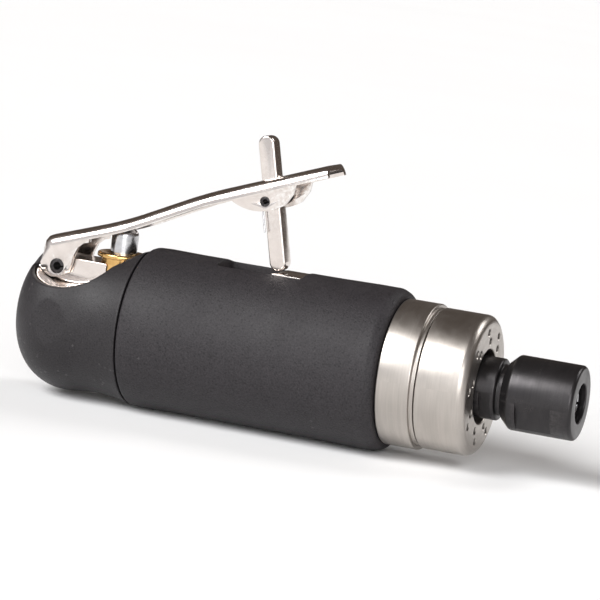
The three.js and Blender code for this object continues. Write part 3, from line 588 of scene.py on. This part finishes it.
def prism(name, nearEnd, farEnd):
    # joins two copies of one outline, corner by corner
    build = bmesh.new()
    first = [build.verts.new(corner) for corner in nearEnd]
    second = [build.verts.new(corner) for corner in farEnd]
    build.faces.new(first)
    build.faces.new(list(reversed(second)))
    for i in range(len(first)):
        j = (i + 1) % len(first)
        build.faces.new([first[j], first[i], second[i], second[j]])
    return meshObject(name, build)


def plate(name, outline, low, high):
    # a side outline of (x, z) with thickness across the tool
    return prism(name, [(x, low, z) for x, z in outline], [(x, high, z) for x, z in outline])


def block(name, rear, front, near, far, bottom, top):
    return plate(name, [(rear, bottom), (front, bottom), (front, top), (rear, top)], near, far)


def arc(centreX, centreZ, radius, start, end, steps):
    points = []
    for i in range(steps + 1):
        angle = math.radians(start + (end - start) * i / steps)
        points.append((centreX + radius * math.cos(angle), centreZ + radius * math.sin(angle)))
    return points


def wireMesh(path, radius, sides):
    # a round wire along a list of points, with flat ends
    build = bmesh.new()
    rings = []
    across = None
    for i, point in enumerate(path):
        ahead = (path[min(i + 1, len(path) - 1)] - path[max(i - 1, 0)]).normalized()
        if across is None:
            across = ahead.orthogonal().normalized()
        across = (across - ahead * across.dot(ahead)).normalized()
        side = ahead.cross(across)
        ring = []
        for k in range(sides):
            angle = 2 * math.pi * k / sides
            out = across * math.cos(angle) + side * math.sin(angle)
            ring.append(build.verts.new(point + out * radius))
        rings.append(ring)
    for first, second in zip(rings, rings[1:]):
        for k in range(sides):
            m = (k + 1) % sides
            build.faces.new([first[k], first[m], second[m], second[k]])
    build.faces.new(rings[0])
    build.faces.new(list(reversed(rings[-1])))
    return build


def settle(piece, cadNode, smooth=35):
    # shades the piece, moves it into the frame and lets it stand for its CAD node
    piece.data.transform(toFrame)
    piece.data.polygons.foreach_set("use_smooth", [True] * len(piece.data.polygons))
    piece.data.set_sharp_from_angle(angle=math.radians(smooth))
    piece.data.materials.clear()
    piece.data.materials.append(nodeMaterials[cadNode])
    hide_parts(cadNode)
    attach(piece, bodyOf(cadNode))
    print("made", piece.name, len(piece.data.polygons))
    return piece


# Shapes shared by the pieces round the throttle.
sleeve = extent("grip_sleeve")
cover = extent("rear_cover")
bushing = extent("valve_bushing")
stemStation = middleOf("valve_stem")[0]
pivotX, pivotZ = middleOf("lever_pin")
lockX, lockZ = middleOf("lock_pin")
gripRadius = sleeve["half"]
leverPinRadius = extent("lever_pin")["top"] - pivotZ
lockPinRadius = extent("lock_pin")["top"] - lockZ
restGap = 0.3  # between pieces that don't touch
fitGap = 0.2  # round a piece that sits in a bore
runGap = 0.12  # round a piece that turns or slides
flangeHeight = 2.8
deckTop = bushing["top"] - flangeHeight
spindleCollar = 8.03
tubeStep = 1.65  # the bare ring stands this much proud of the tube
rearShape = {"bulbAt": 13.5, "bulbDrop": 0.91, "waistAt": 22.1, "waistDrop": 1.55, "faceRadius": 7.8,
             "frontDrop": 0.2, "wall": 1.8, "noseSteps": 22, "bodySteps": 10}
deckShape = {"end": 26.0, "rampDrop": 0.85, "reach": 1.4, "bossHalf": 5.4, "pocketRadius": 17.5, 
             "pocketAt": 12.5, "pocketFloorDrop": 12.45}


def rearRadius(x):
    shape = rearShape
    bulb = gripRadius - shape["bulbDrop"]
    waist = gripRadius - shape["waistDrop"]
    front = gripRadius - shape["frontDrop"]
    if x < shape["bulbAt"]:
        share = 1 - x / shape["bulbAt"]
        face = shape["faceRadius"]
        return face + (bulb - face) * math.sqrt(max(0.0, 1 - share * share))
    if x < shape["waistAt"]:
        share = (x - shape["bulbAt"]) / (shape["waistAt"] - shape["bulbAt"])
        return bulb + (waist - bulb) * (1 - math.cos(math.pi * share)) / 2
    share = (x - shape["waistAt"]) / (cover["front"] - shape["waistAt"])
    return waist + (front - waist) * share * share


def rearStations(start, end):
    shape = rearShape
    stations = [start]
    for i in range(1, shape["noseSteps"] + 1):
        x = shape["bulbAt"] * (1 - math.cos(math.pi / 2 * i / shape["noseSteps"]))
        if start + 0.05 < x < end:
            stations.append(x)
    for i in range(1, shape["bodySteps"] * 2):
        x = shape["bulbAt"] + (end - shape["bulbAt"]) * i / (shape["bodySteps"] * 2)
        if x > start:
            stations.append(x)
    return stations + [end]


def deckTool():
    top = gripRadius + 10
    rear = -5
    ramp = gripRadius - deckShape["rampDrop"]
    end = cover["front"] + deckShape["reach"]
    outline = [(rear, deckTop), (deckShape["end"], deckTop), (cover["front"], ramp), (end, gripRadius + 0.2),
               (end, top), (rear, top)]
    return plate("deckTool", outline, -30, 30)


def pocketTools():
    height = gripRadius - deckShape["pocketFloorDrop"] + deckShape["pocketRadius"]
    tools = []
    for side in (-1, 1):
        rod = rodPoints(*sorted((side * deckShape["bossHalf"], side * 40)), deckShape["pocketRadius"])
        tools.append(turnedAcross("pocketTool", rod, deckShape["pocketAt"], height, 160))
    return tools


def pinTool(reach, gap):
    return turnedAcross("pinTool", rodPoints(-reach, reach, leverPinRadius + gap), pivotX, pivotZ)


def seatTool():
    return turnedUp("seatTool", rodPoints(deckTop - 0.1, 60, bushing["half"] + restGap), stemStation)


# Rear cover: black skin with a thumb scoop on each side.
coverShape = {"voxel": 0.27, "soften": 5, "scoopDepth": 0.9, "scoopRear": 3.2, "scoopFront": 20.5,
              "scoopHalf": 7.0, "scoopRadius": 40.0}


def makeRearCover(shape):
    wall = rearShape["wall"]
    outside = [(x, rearRadius(x)) for x in rearStations(0.0, cover["front"])]
    inside = [(x, rearRadius(x) - wall) for x in reversed(rearStations(wall, cover["front"]))]
    hole = extent("inlet_bushing")["half"] + restGap
    piece = meshObject("rearCover", latheBuild(outside + inside + [(wall, hole), (0.0, hole)], 160))
    tools = [deckTool(), seatTool(), *pocketTools(), pinTool(40, fitGap)]
    half, radius = shape["scoopHalf"], shape["scoopRadius"]
    middle = (shape["scoopRear"] + shape["scoopFront"]) / 2
    depth = gripRadius - rearShape["bulbDrop"] - shape["scoopDepth"] + radius
    for side in (-1, 1):
        scoop = turnedUp("scoopTool", rodPoints(-half, half, radius), 0, 256)
        scoop.data.transform(Matrix.Translation((middle, side * depth, 0)))
        limit = block("scoopLimit", 0, shape["scoopFront"], -60, 60, -60, 60)
        tools.append(cutAway(scoop, [limit], "INTERSECT"))
    cutAway(piece, tools)
    voxelSoftened(piece, shape["voxel"], shape["soften"])
    return settle(piece, "rear_cover", 180)


makeRearCover(coverShape)


# Throttle housing: bright metal body under the cover, with its boss, deck and pocket.
housingShape = {"voxel": 0.27, "soften": 4, "passageRadius": 1.7, "passageDrop": 6.0, "valveFloor": -11.0,
                "flangeReach": 1.25, "plenumInner": 7.6, "plenumWall": 1.3, "plenumDepth": 2.0}


def makeThrottleHousing(shape):
    bushingRadius = bushing["half"] - shape["flangeReach"]
    inset = rearShape["wall"] + restGap
    outside = [(x, rearRadius(x) - inset) for x in rearStations(inset, cover["front"])]
    spigot = extent("clamp_spacer")["half"]
    spigotFront = extent("throttle_housing")["front"]
    nose = [(cover["front"], spigot), (spigotFront, spigot), (spigotFront, 0)]
    piece = meshObject("throttleHousing", latheBuild([(inset, 0)] + outside + nose, 160))
    inlet = extent("inlet_bushing")
    bore = extent("inlet_screen")["front"] + restGap
    passageTool = turned("passageTool", rodPoints(stemStation, spigotFront + 1, shape["passageRadius"]), 32)
    passageTool.data.transform(Matrix.Translation((0, 0, deckTop - shape["passageDrop"])))
    plenumInner, plenumOuter = shape["plenumInner"], spigot - shape["plenumWall"]
    start, end = spigotFront - shape["plenumDepth"], spigotFront + 1
    plenum = turned("plenumTool", [
        (start, plenumInner), (start, plenumOuter), (end, plenumOuter), (end, plenumInner),
    ])
    cutAway(piece, [
        deckTool(), seatTool(), *pocketTools(), passageTool, plenum,
        turned("inletTool", rodPoints(-1, bore, inlet["half"] + fitGap)),
        turned("airTool", rodPoints(0, stemStation, inlet["half"] - 3)),
        turnedUp("valveTool", rodPoints(shape["valveFloor"], 60, bushingRadius + fitGap), stemStation),
        pinTool(40, runGap),
    ])
    voxelSoftened(piece, shape["voxel"], shape["soften"])
    return settle(piece, "throttle_housing", 180)


makeThrottleHousing(housingShape)


# Grip sleeve: swollen a little near each end, with a recess under the lock lever.
gripShape = {"voxel": 0.3, "soften": 5, "swell": 0.15, "rearRound": 0.7, "frontRound": 1.5,
             "recessHalf": 6.2, "recessCorner": 1.2, "recessFoot": 5.0}


def makeGripSleeve(shape):
    inner = extent("motor_housing")["half"] - tubeStep + fitGap
    rear, front = sleeve["rear"], sleeve["front"]
    waist = gripRadius - shape["swell"]
    outline = filleted([
        (rear, inner), (rear, gripRadius - 0.15, shape["rearRound"]), (rear + 4, gripRadius, 4),
        (rear + 13, waist, 8), (front - 19, waist, 8), (front - 8, gripRadius, 6),
        (front - 2.3, gripRadius - 0.05, 2), (front, gripRadius - 1.1, shape["frontRound"]), (front, inner),
    ], 8)
    piece = meshObject("gripSleeve", latheBuild(outline, 200))
    plateBox = extent("rest_plate")
    low, high = plateBox["rear"] - restGap, plateBox["front"] + restGap
    half = shape["recessHalf"]
    corner = shape["recessCorner"]
    mouth = filleted([(low, -half, corner), (high, -half, corner),
                      (high, half, corner), (low, half, corner)], 6)
    foot, lid = shape["recessFoot"], 40.0
    recess = prism("recessTool", [(x, y, foot) for x, y in mouth], [(x, y, lid) for x, y in mouth])
    cutAway(piece, [recess, deckTool()])
    voxelSoftened(piece, shape["voxel"], shape["soften"])
    return settle(piece, "grip_sleeve", 180)


makeGripSleeve(gripShape)


# Motor housing: steel tube under the grip, its bare ring and the groove ahead of it.
ringShape = {"wall": 2.1, "round": 0.35, "grooveDepth": 1.1, "grooveGap": 1.0}


def makeMotorHousing(shape):
    box = extent("motor_housing")
    ring = box["half"]
    tube = ring - tubeStep
    inner = tube - shape["wall"]
    ringRear = sleeve["front"] + restGap
    ringFront = box["front"] - shape["grooveGap"]
    piece = turned("motorHousing", [
        (box["rear"], inner), (box["rear"], tube), (ringRear, tube), (ringRear, ring, shape["round"]),
        (ringFront, ring, shape["round"]), (ringFront, ring - shape["grooveDepth"], 0.25),
        (box["front"], ring - shape["grooveDepth"], 0.15), (box["front"], inner),
    ], 256)
    return settle(piece, "motor_housing")


makeMotorHousing(ringShape)


# Exhaust cap: rounded shoulder and a ring of paired holes.
capShape = {"round": 2.3, "wall": 5.5, "edge": 0.35, "rows": 9, "hole": 0.95, "partner": 9.0,
            "innerReach": 2.0, "outerReach": 4.6, "countersink": 0.22, "collarGap": 1.72, "rimGap": 4.2,
            "chamber": 2.6}


def makeExhaustCap(shape):
    box = extent("exhaust_cap")
    cap, face, spigotEnd = box["half"], box["front"], box["rear"]
    stack = extent("clamp_spacer")["half"]
    holeRadius = spindleCollar + shape["collarGap"]
    inner = spindleCollar + shape["rimGap"]
    chamber = inner + shape["chamber"]
    start = extent("motor_housing")["front"] + restGap
    back = face - shape["wall"]
    piece = turned("exhaustCap", [
        (spigotEnd, inner), (spigotEnd, stack), (start, stack), (start, cap, 0.35),
        (face, cap, shape["round"]), (face, holeRadius, shape["edge"]), (back, holeRadius, 0.2),
        (back, chamber), (start + 1, chamber), (start, inner),
    ], 256, 8)
    radius, sink = shape["hole"], shape["countersink"]
    drills = bmesh.new()
    for row in range(shape["rows"]):
        for turn, pitch in ((0.0, shape["innerReach"]), (shape["partner"], shape["outerReach"])):
            angle = math.radians(360 * row / shape["rows"] + turn)
            drill = latheBuild([(back - 1, 0), (back - 1, radius), (face - sink, radius),
                                (face + sink, radius + 2 * sink), (face + sink, 0)], 32)
            out = holeRadius + pitch
            drill.transform(Matrix.Translation((0, -math.sin(angle) * out, math.cos(angle) * out)))
            mergeInto(drills, drill)
    cutAway(piece, [meshObject("capDrills", drills)])
    return settle(piece, "exhaust_cap")


makeExhaustCap(capShape)


# Spindle with its collar, and the collet and nut on its nose.
def flatTools(rear, front, distance, lean):
    tools = []
    for side in (-1, 1):
        low, high = sorted((side * distance, side * 40))
        tool = block("flatTool", rear, front, low, high, -40, 40)
        tool.data.transform(Matrix.Rotation(math.radians(lean), 4, "X"))
        tools.append(tool)
    return tools


noseShape = {"lean": 32.0, "collarLength": 4.7, "collarFlat": 6.9, "neck": 6.55, "nose": 6.3,
             "taperMouth": 5.1, "taperRoot": 3.95, "taperDepth": 6.0,
             "journal": 3.5, "rotorSeat": 4.45, "bearingSeat": 5.0,
             "nutFlat": 8.75, "flatRear": 4.6, "flatFront": 13.9, "mouth": 5.14, "rearChamfer": 2.3,
             "bore": 3.175, "slots": 3, "slotWidth": 0.8}


def makeSpindle(shape):
    box = extent("spindle")
    capFace = extent("exhaust_cap")["front"]
    nutRear = extent("collet_nut")["rear"]
    plateFront = extent("front_end_plate")
    cylinder = extent("motor_cylinder")
    collarEnd = capFace + shape["collarLength"]
    taper = nutRear - shape["taperDepth"]
    neck, nose, root = shape["neck"], shape["nose"], shape["taperRoot"]
    journal, rotorSeat, seat = shape["journal"], shape["rotorSeat"], shape["bearingSeat"]
    shoulder, seatEnd = seat + 1.5, plateFront["front"]
    piece = turned("spindle", [
        (box["rear"], 0), (box["rear"], journal, 0.4), (extent("rear_end_plate")["front"], journal),
        (cylinder["rear"], rotorSeat), (cylinder["front"], rotorSeat), (plateFront["rear"], seat),
        (seatEnd + restGap, seat), (seatEnd + restGap, shoulder), (seatEnd + 3, shoulder),
        (seatEnd + 4, spindleCollar), (collarEnd, spindleCollar, 0.5), (collarEnd, neck, 0.3),
        (nutRear - restGap, neck), (nutRear - restGap, nose),
        (box["front"], nose, 0.5), (box["front"], shape["taperMouth"]), (taper, root), (taper - 16, root),
        (taper - 18, 0),
    ], 192)
    cutAway(piece, flatTools(capFace + 0.7, collarEnd - 0.9, shape["collarFlat"], shape["lean"]))
    return settle(piece, "spindle")


def makeColletNut(shape):
    box = extent("collet_nut")
    rear, front = box["rear"], box["front"]
    nutRadius = (box["top"] - box["bottom"]) / 2
    thread = shape["nose"] + fitGap
    head = extent("spindle")["front"] + 0.5
    colletNose = extent("collet")["front"]
    piece = turned("colletNut", [
        (rear, thread), (rear, nutRadius - 2.2, 0.3), (rear + shape["rearChamfer"], nutRadius, 1.2),
        (front, nutRadius, 1.0), (front, shape["mouth"], 0.35), (colletNose + 0.2, shape["mouth"]),
        (head + 1.4, shape["taperMouth"] + 0.7), (head + 0.2, thread),
    ], 192, 8)
    flatRear, flatFront = rear + shape["flatRear"], rear + shape["flatFront"]
    cutAway(piece, flatTools(flatRear, flatFront, shape["nutFlat"], shape["lean"]))
    return settle(piece, "collet_nut")


def makeCollet(shape):
    box = extent("collet")
    spindle = extent("spindle")
    nut = extent("collet_nut")
    bore = shape["bore"]
    taper = nut["rear"] - shape["taperDepth"]
    head = spindle["front"] + 0.5
    root, mouth = shape["taperRoot"] - runGap, shape["taperMouth"]
    piece = turned("collet", [
        (box["rear"], bore), (box["rear"], root, 0.2), (taper, root), (spindle["front"] - 0.2, mouth - 0.15),
        (head, mouth + 0.3, 0.15), (head + 1.2, mouth + 0.3, 0.15), (box["front"], mouth - 0.9, 0.25),
        (box["front"], bore, 0.2),
    ], 144)
    tools = []
    for i in range(shape["slots"]):
        half = shape["slotWidth"] / 2
        tool = block("slotTool", taper + 1.5, nut["front"] + 1, -half, half, 0, 30)
        tool.data.transform(Matrix.Rotation(math.radians(360 * i / shape["slots"] + 20), 4, "X"))
        tools.append(tool)
    cutAway(piece, tools)
    return settle(piece, "collet")


makeSpindle(noseShape)
makeColletNut(noseShape)
makeCollet(noseShape)


# Air inlet: threaded bushing and woven screen.
inletShape = {"bore": 5.7, "pitch": 1.41, "threadDepth": 0.55, "wires": 15, "wire": 0.13, "steps": 48,
              "rim": 0.45}


def makeInletBushing(shape):
    box = extent("inlet_bushing")
    outer, front = box["half"], box["front"]
    bore, pitch = shape["bore"], shape["pitch"]
    root = bore + shape["threadDepth"]
    outline = [(0, bore + 0.9), (0, outer - 0.4), (0.4, outer), (front, outer), (front, bore)]
    for i in range(int((front - 1.6) / pitch)):
        crest = front - 0.2 - i * pitch
        valley = crest - pitch / 2
        outline += [(crest, bore), (crest - 0.2, bore), (valley - 0.05, root), (valley - 0.15, root)]
    outline.append((0.9, bore + 0.1))
    return settle(meshObject("inletBushing", latheBuild(outline, 144)), "inlet_bushing")


def makeInletScreen(shape):
    box = extent("inlet_screen")
    middle, outer = (box["rear"] + box["front"]) / 2, box["half"]
    inside = outer - shape["rim"]
    rear, front = box["rear"], box["front"]
    build = latheBuild([(rear, inside), (rear, outer), (front, outer), (front, inside)], 96)
    spacing = 2 * inside / (shape["wires"] + 1)
    for way in (0, 1):
        for i in range(1, shape["wires"] + 1):
            offset = -inside + i * spacing
            reach = math.sqrt(max(outer * outer - offset * offset, 0.01)) - 0.2
            path = []
            for k in range(shape["steps"] + 1):
                along = -reach + 2 * reach * k / shape["steps"]
                phase = math.pi * (along + inside) / spacing + math.pi * (i + way)
                lift = middle + shape["wire"] * math.cos(phase)
                path.append(Vector((lift, offset, along) if way else (lift, along, offset)))
            mergeInto(build, wireMesh(path, shape["wire"], 6))
    return settle(meshObject("inletScreen", build), "inlet_screen", 60)


makeInletBushing(inletShape)
makeInletScreen(inletShape)


# Throttle valve: flanged brass bushing and its stem.
valveShape = {"bushing": 5.6, "flange": 1.3, "stem": 3.58, "tip": 2.2, "sealDrop": 1.4, "sealGroove": 1.8,
              "chamber": 4.7, "chamberDrop": 3.2, "dome": 2.2, "passage": 1.7, "passageDrop": 6.0}


def makeValveBushing(shape):
    bottom, top = bushing["bottom"], bushing["top"]
    bore = shape["stem"] + runGap
    groove = bore + 1.3
    sealTop = deckTop + shape["sealDrop"]
    sealFoot = sealTop - shape["sealGroove"]
    flangeFoot = top - shape["flange"]
    chamberTop = deckTop - shape["chamberDrop"]
    piece = turnedUp("valveBushing", [
        (bottom, shape["bushing"]), (flangeFoot, shape["bushing"]), (flangeFoot, bushing["half"], 0.2),
        (top, bushing["half"], 0.6), (top, bore, 0.35), (sealTop, bore), (sealTop, groove),
        (sealFoot, groove), (sealFoot, bore), (chamberTop, bore), (chamberTop, shape["chamber"]),
        (bottom, shape["chamber"]),
    ], stemStation, 128)
    port = turned("portTool", rodPoints(stemStation, stemStation + 10, shape["passage"]), 32)
    port.data.transform(Matrix.Translation((0, 0, deckTop - shape["passageDrop"])))
    cutAway(piece, [port])
    return settle(piece, "valve_bushing")


def makeValveStem(shape):
    box = extent("valve_stem")
    radius = box["half"]
    neck = deckTop - shape["chamberDrop"] - 1.2
    piece = turnedUp("valveStem", [
        (box["bottom"], 0), (box["bottom"], shape["tip"], 0.2), (neck, shape["tip"]), (neck + 0.8, radius),
        (box["top"], radius, shape["dome"]), (box["top"], 0),
    ], stemStation, 128, 12)
    return settle(piece, "valve_stem")


makeValveBushing(valveShape)
makeValveStem(valveShape)


# Throttle lever: folded sheet, open below, with ears for both pins.
leverShape = {"sheet": 1.5, "flange": 3.1, "outerBend": 2.9, "innerBend": 1.4, "edge": 0.16, "bendReach": 7.0,
              "rear": (-2.6, 8.0), "lowBend": (16.9, 14.6), "highBend": (38.8, 25.3), "nose": (71.2, 37.34),
              "slotHalf": 2.7, "slotRear": -4.4, "slotFront": 14.6, "wallFoot": 4.4,
              "slotFoot": -3.0, "slotTop": 12.0,
              "rearEar": [(-2.6, 8.0), (-3.9, 7.4), (-4.8, 6.2), (-5.1, 4.6), (-5.0, 1.2),
                          *arc(-0.8, 1.1, 4.1, 190, 300, 14), (3.2, -1.4), (3.9, 0.6), (4.4, 3.4), (5.4, 5.8),
                          (7.0, 7.2), (8.4, 7.6), (8.4, 10.0)],
              "frontEar": [*arc(53.3, 36.4, 13.4, 234.5, 307.5, 24), (63.2, 28.7), (63.6, 31.6), (63.0, 33.0),
                           (46.6, 27.0)]}


def softBends(points, reach, steps=8):
    path = [Vector(points[0])]
    for before, here, after in zip(points, points[1:], points[2:]):
        middle = Vector(here)
        start = middle + (Vector(before) - middle).normalized() * reach
        end = middle + (Vector(after) - middle).normalized() * reach
        for i in range(steps + 1):
            t = i / steps
            path.append(start * (1 - t) ** 2 + middle * 2 * t * (1 - t) + end * t * t)
    path.append(Vector(points[-1]))
    return path


def below(path, distance):
    moved = []
    for i, point in enumerate(path):
        along = (path[min(i + 1, len(path) - 1)] - path[max(i - 1, 0)]).normalized()
        moved.append(point + Vector((along.y, -along.x)) * distance)
    return moved


def fromPivot(points):
    return [(pivotX + x, pivotZ + z) for x, z in points]


def toLockPin(piece, lean):
    piece.data.transform(Matrix.Translation((lockX, 0, lockZ)) @ Matrix.Rotation(-lean, 4, "Y"))


def lockPinTool(reach, gap):
    return turnedAcross("lockPinTool", rodPoints(-reach, reach, lockPinRadius + gap), lockX, lockZ)


def foldCorners(piece, line, half, radius, steps):
    # rounds the long corners where the sheet is folded down on each side of the top line
    build = cleaned(piece)

    def nearSegment(spot, a, b):
        span = b - a
        t = max(0.0, min(1.0, (spot - a).dot(span) / span.length_squared))
        return (spot - a - span * t).length < 0.02

    def onLine(vert):
        if abs(abs(vert.co.y) - half) > 0.01:
            return False
        spot = Vector((vert.co.x, vert.co.z))
        return any(nearSegment(spot, a, b) for a, b in zip(line, line[1:]))

    picked = [e for e in build.edges if all(onLine(v) for v in e.verts)
              and abs(e.verts[0].co.y - e.verts[1].co.y) < 0.01]
    bmesh.ops.bevel(build, geom=picked, offset=radius, offset_type="OFFSET", segments=steps, profile=0.5,
                    affect="EDGES", clamp_overlap=False)
    build.to_mesh(piece.data)
    build.free()
    return piece


def makeThrottleLever(shape):
    outerHalf = extent("throttle_lever")["half"]
    innerHalf = outerHalf - shape["sheet"]
    bends = fromPivot([shape["rear"], shape["lowBend"], shape["highBend"], shape["nose"]])
    top = softBends(bends, shape["bendReach"])
    under = below(top, shape["sheet"])
    edge = below(top, shape["flange"])
    rearEar = fromPivot(shape["rearEar"])
    band = [tuple(p) for p in top] + [tuple(p) for p in reversed(edge)]
    body = plate("throttleLever", band, -outerHalf, outerHalf)
    ears = [plate("ear", ear, -outerHalf, outerHalf) for ear in (rearEar, fromPivot(shape["frontEar"]))]
    cutAway(body, ears, "UNION")
    rearTurn = [Vector(p) for p in reversed(rearEar[1:5])]
    foldCorners(body, rearTurn + top, outerHalf, shape["outerBend"], 6)
    foot, noseEnd = shape["wallFoot"], under[-1].x + 5
    channel = plate("channelTool", [
        *fromPivot([(-12, -20), (-12, foot), (-3.5, foot), (-3.3, 5.6)]), (under[0].x, under[0].y - 0.2),
        *[tuple(p) for p in under[1:]], (noseEnd, under[-1].y), (noseEnd, -20),
    ], -innerHalf, innerHalf)
    foldCorners(channel, under[1:], innerHalf, shape["innerBend"], 3)
    run, rise = (front - rear for front, rear in zip(shape["nose"], shape["highBend"]))
    slot = block("slotTool", shape["slotRear"], shape["slotFront"], -shape["slotHalf"], shape["slotHalf"],
                 shape["slotFoot"], shape["slotTop"])
    toLockPin(slot, math.atan2(rise, run))
    cutAway(body, [channel, slot, pinTool(20, runGap), lockPinTool(20, 0.06)])
    edgesEased(body, shape["edge"])
    return settle(body, "throttle_lever", 30)


makeThrottleLever(leverShape)


# Lock-off lever, its spring, and both rolled pins.
lockShape = {"lean": 13.0, "thickness": 4.5, "width": 4.6, "top": 16.9, "foot": 18.5, "edge": 0.55,
             "coil": 2.1, "wire": 0.25, "turns": 2.6, "leg": 8.2, "coilSteps": 90}


def makeLockLever(shape):
    half = shape["thickness"] / 2
    topRound = arc(0, shape["top"] - half, half, 0, 180, 16)
    footRound = arc(0, half - shape["foot"], half, 180, 360, 16)
    piece = plate("lockLever", topRound + footRound, -shape["width"] / 2, shape["width"] / 2)
    edgesEased(piece, shape["edge"], 4, 40)
    toLockPin(piece, math.radians(shape["lean"]))
    cutAway(piece, [lockPinTool(10, fitGap)])
    return settle(piece, "lock_lever")


def makeLockSpring(shape):
    near = extent("lock_spring")["near"] + shape["wire"]
    pitch = 2 * shape["wire"] + 0.12
    coil, turns = shape["coil"], shape["turns"]
    path = []
    for i in range(shape["coilSteps"] + 1):
        share = i / shape["coilSteps"]
        angle = math.pi - 2 * math.pi * turns * (1 - share)
        path.append(Vector((coil * math.cos(angle), near + pitch * turns * share, coil * math.sin(angle))))
    last = path[-1]
    for i in range(1, 13):
        path.append(last + Vector((0, 0, -shape["leg"] * i / 12)))
    piece = meshObject("lockSpring", wireMesh(path, shape["wire"], 10))
    toLockPin(piece, math.radians(shape["lean"]))
    return settle(piece, "lock_spring", 60)


def makeRolledPin(name, cadNode, bore, slit=0.25):
    box = extent(cadNode)
    x, z = middleOf(cadNode)
    radius, half = box["top"] - z, box["half"]
    outline = [(-half, bore), (-half, radius, 0.25), (half, radius, 0.25), (half, bore)]
    piece = turnedAcross(name, outline, x, z, 72)
    cutAway(piece, [block("slitTool", x, x + radius + 1, -half - 1, half + 1, z - slit, z + slit)])
    return settle(piece, cadNode)


makeLockLever(lockShape)
makeLockSpring(lockShape)
makeRolledPin("leverPin", "lever_pin", 1.1)
makeRolledPin("lockPin", "lock_pin", 0.7)


# Rest plate in the bottom of the recess.
restShape = {"sheet": 0.8, "stepAt": 68.6, "ramp": 1.2, "edge": 0.15}


def makeRestPlate(shape):
    box = extent("rest_plate")
    floor, top, half = box["bottom"], box["top"], box["half"]
    low, step = floor + shape["sheet"], shape["stepAt"]
    outline = filleted([
        (box["rear"], floor), (box["front"], floor), (box["front"], top, 0.3), (step, top, 0.5),
        (step - shape["ramp"], low, 0.5), (box["rear"], low, 0.1),
    ], 5)
    piece = plate("restPlate", outline, -half, half)
    edgesEased(piece, shape["edge"])
    return settle(piece, "rest_plate")


makeRestPlate(restShape)
print("pieces ready")


# Floor, light and camera.
stageLook = {"floor": 12.0, "drop": 0.0002, "pale": (0.93, 0.93, 0.93), "cloud": (0.90, 0.90, 0.90),
             "cloudScale": 3.0, "roughness": 0.7, "specular": 0.2}


def makeFloor(look):
    build = bmesh.new()
    bmesh.ops.create_grid(build, x_segments=8, y_segments=8, size=look["floor"])
    floor = meshObject("floor", build)
    material = bpy.data.materials.new("paleFloor")
    material.use_nodes = True
    tree = material.node_tree
    shader = tree.nodes["Principled BSDF"]
    where = node(tree, "ShaderNodeTexCoord").outputs["Object"]
    cloud = noise(tree, where, look["cloudScale"], 2.0)
    tree.links.new(blended(tree, cloud, look["cloud"], look["pale"]), shader.inputs["Base Color"])
    shader.inputs["Roughness"].default_value = look["roughness"]
    shader.inputs["Specular IOR Level"].default_value = look["specular"]
    floor.data.materials.append(material)
    floor.location.z = -look["drop"]
    floor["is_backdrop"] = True


lightLook = {
    "key": {"place": (-0.55, -0.75, 0.80), "spread": 34.0, "power": 3.3},
    "front": {"place": (0.35, -1.1, 0.30), "spread": 40.0, "power": 1.7},
    "rim": {"place": (0.55, 0.6, 0.8), "spread": 26.0, "power": 0.9},
}
skyLook = {"front": (0.95, 0.96, 1.0), "back": (0.13, 0.105, 0.09), "lean": 0.95,
           "from": -0.6, "to": 0.5, "strength": 0.75}


def makeLights(lights, sky):
    low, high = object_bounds()
    middle = (low + high) / 2
    for name, light in lights.items():
        lamp = bpy.data.lights.new(name, "SUN")
        lamp.angle = math.radians(light["spread"])
        lamp.energy = light["power"]
        holder = bpy.data.objects.new(name, lamp)
        bpy.context.scene.collection.objects.link(holder)
        holder.location = light["place"]
        holder.rotation_euler = (middle - Vector(light["place"])).to_track_quat("-Z", "Y").to_euler()
    world = bpy.data.worlds.new("studio")
    world.use_nodes = True
    bpy.context.scene.world = world
    tree = world.node_tree
    background = tree.nodes["Background"]
    ray = node(tree, "ShaderNodeTexCoord").outputs["Generated"]
    parts = node(tree, "ShaderNodeSeparateXYZ", {"Vector": ray})
    away = plus(tree, parts.outputs["Y"], times(tree, parts.outputs["Z"], sky["lean"]))
    side = spread(tree, away, sky["from"], sky["to"])
    tree.links.new(blended(tree, side, sky["front"], sky["back"]), background.inputs["Color"])
    background.inputs["Strength"].default_value = sky["strength"]


cameraLook = {"azimuth": 18.693, "elevation": 8.058, "roll": 7.078, "distance": 0.7832, "lens": 180.0,
              "aimOffset": (-0.00181, 0.00129, -0.0032)}


def makeCamera(look):
    low, high = cadBox
    aim = (low + high) / 2 + Vector(look["aimOffset"])
    azimuth, elevation = math.radians(look["azimuth"]), math.radians(look["elevation"])
    level, rise = math.cos(elevation), math.sin(elevation)
    back = Vector((math.sin(azimuth) * level, -math.cos(azimuth) * level, rise))
    data = bpy.data.cameras.new("camera")
    data.sensor_width = 36.0
    data.lens = look["lens"]
    data.clip_start, data.clip_end = 0.01, 100.0
    camera = bpy.data.objects.new("camera", data)
    bpy.context.scene.collection.objects.link(camera)
    facing = (-back).to_track_quat("-Z", "Y").to_matrix()
    tilt = Matrix.Rotation(math.radians(look["roll"]), 3, back)
    camera.matrix_world = Matrix.Translation(aim + back * look["distance"]) @ (tilt @ facing).to_4x4()
    bpy.context.scene.camera = camera


makeFloor(stageLook)
makeLights(lightLook, skyLook)
makeCamera(cameraLook)
bpy.context.scene.view_settings.view_transform = "Standard"
print("stage ready")
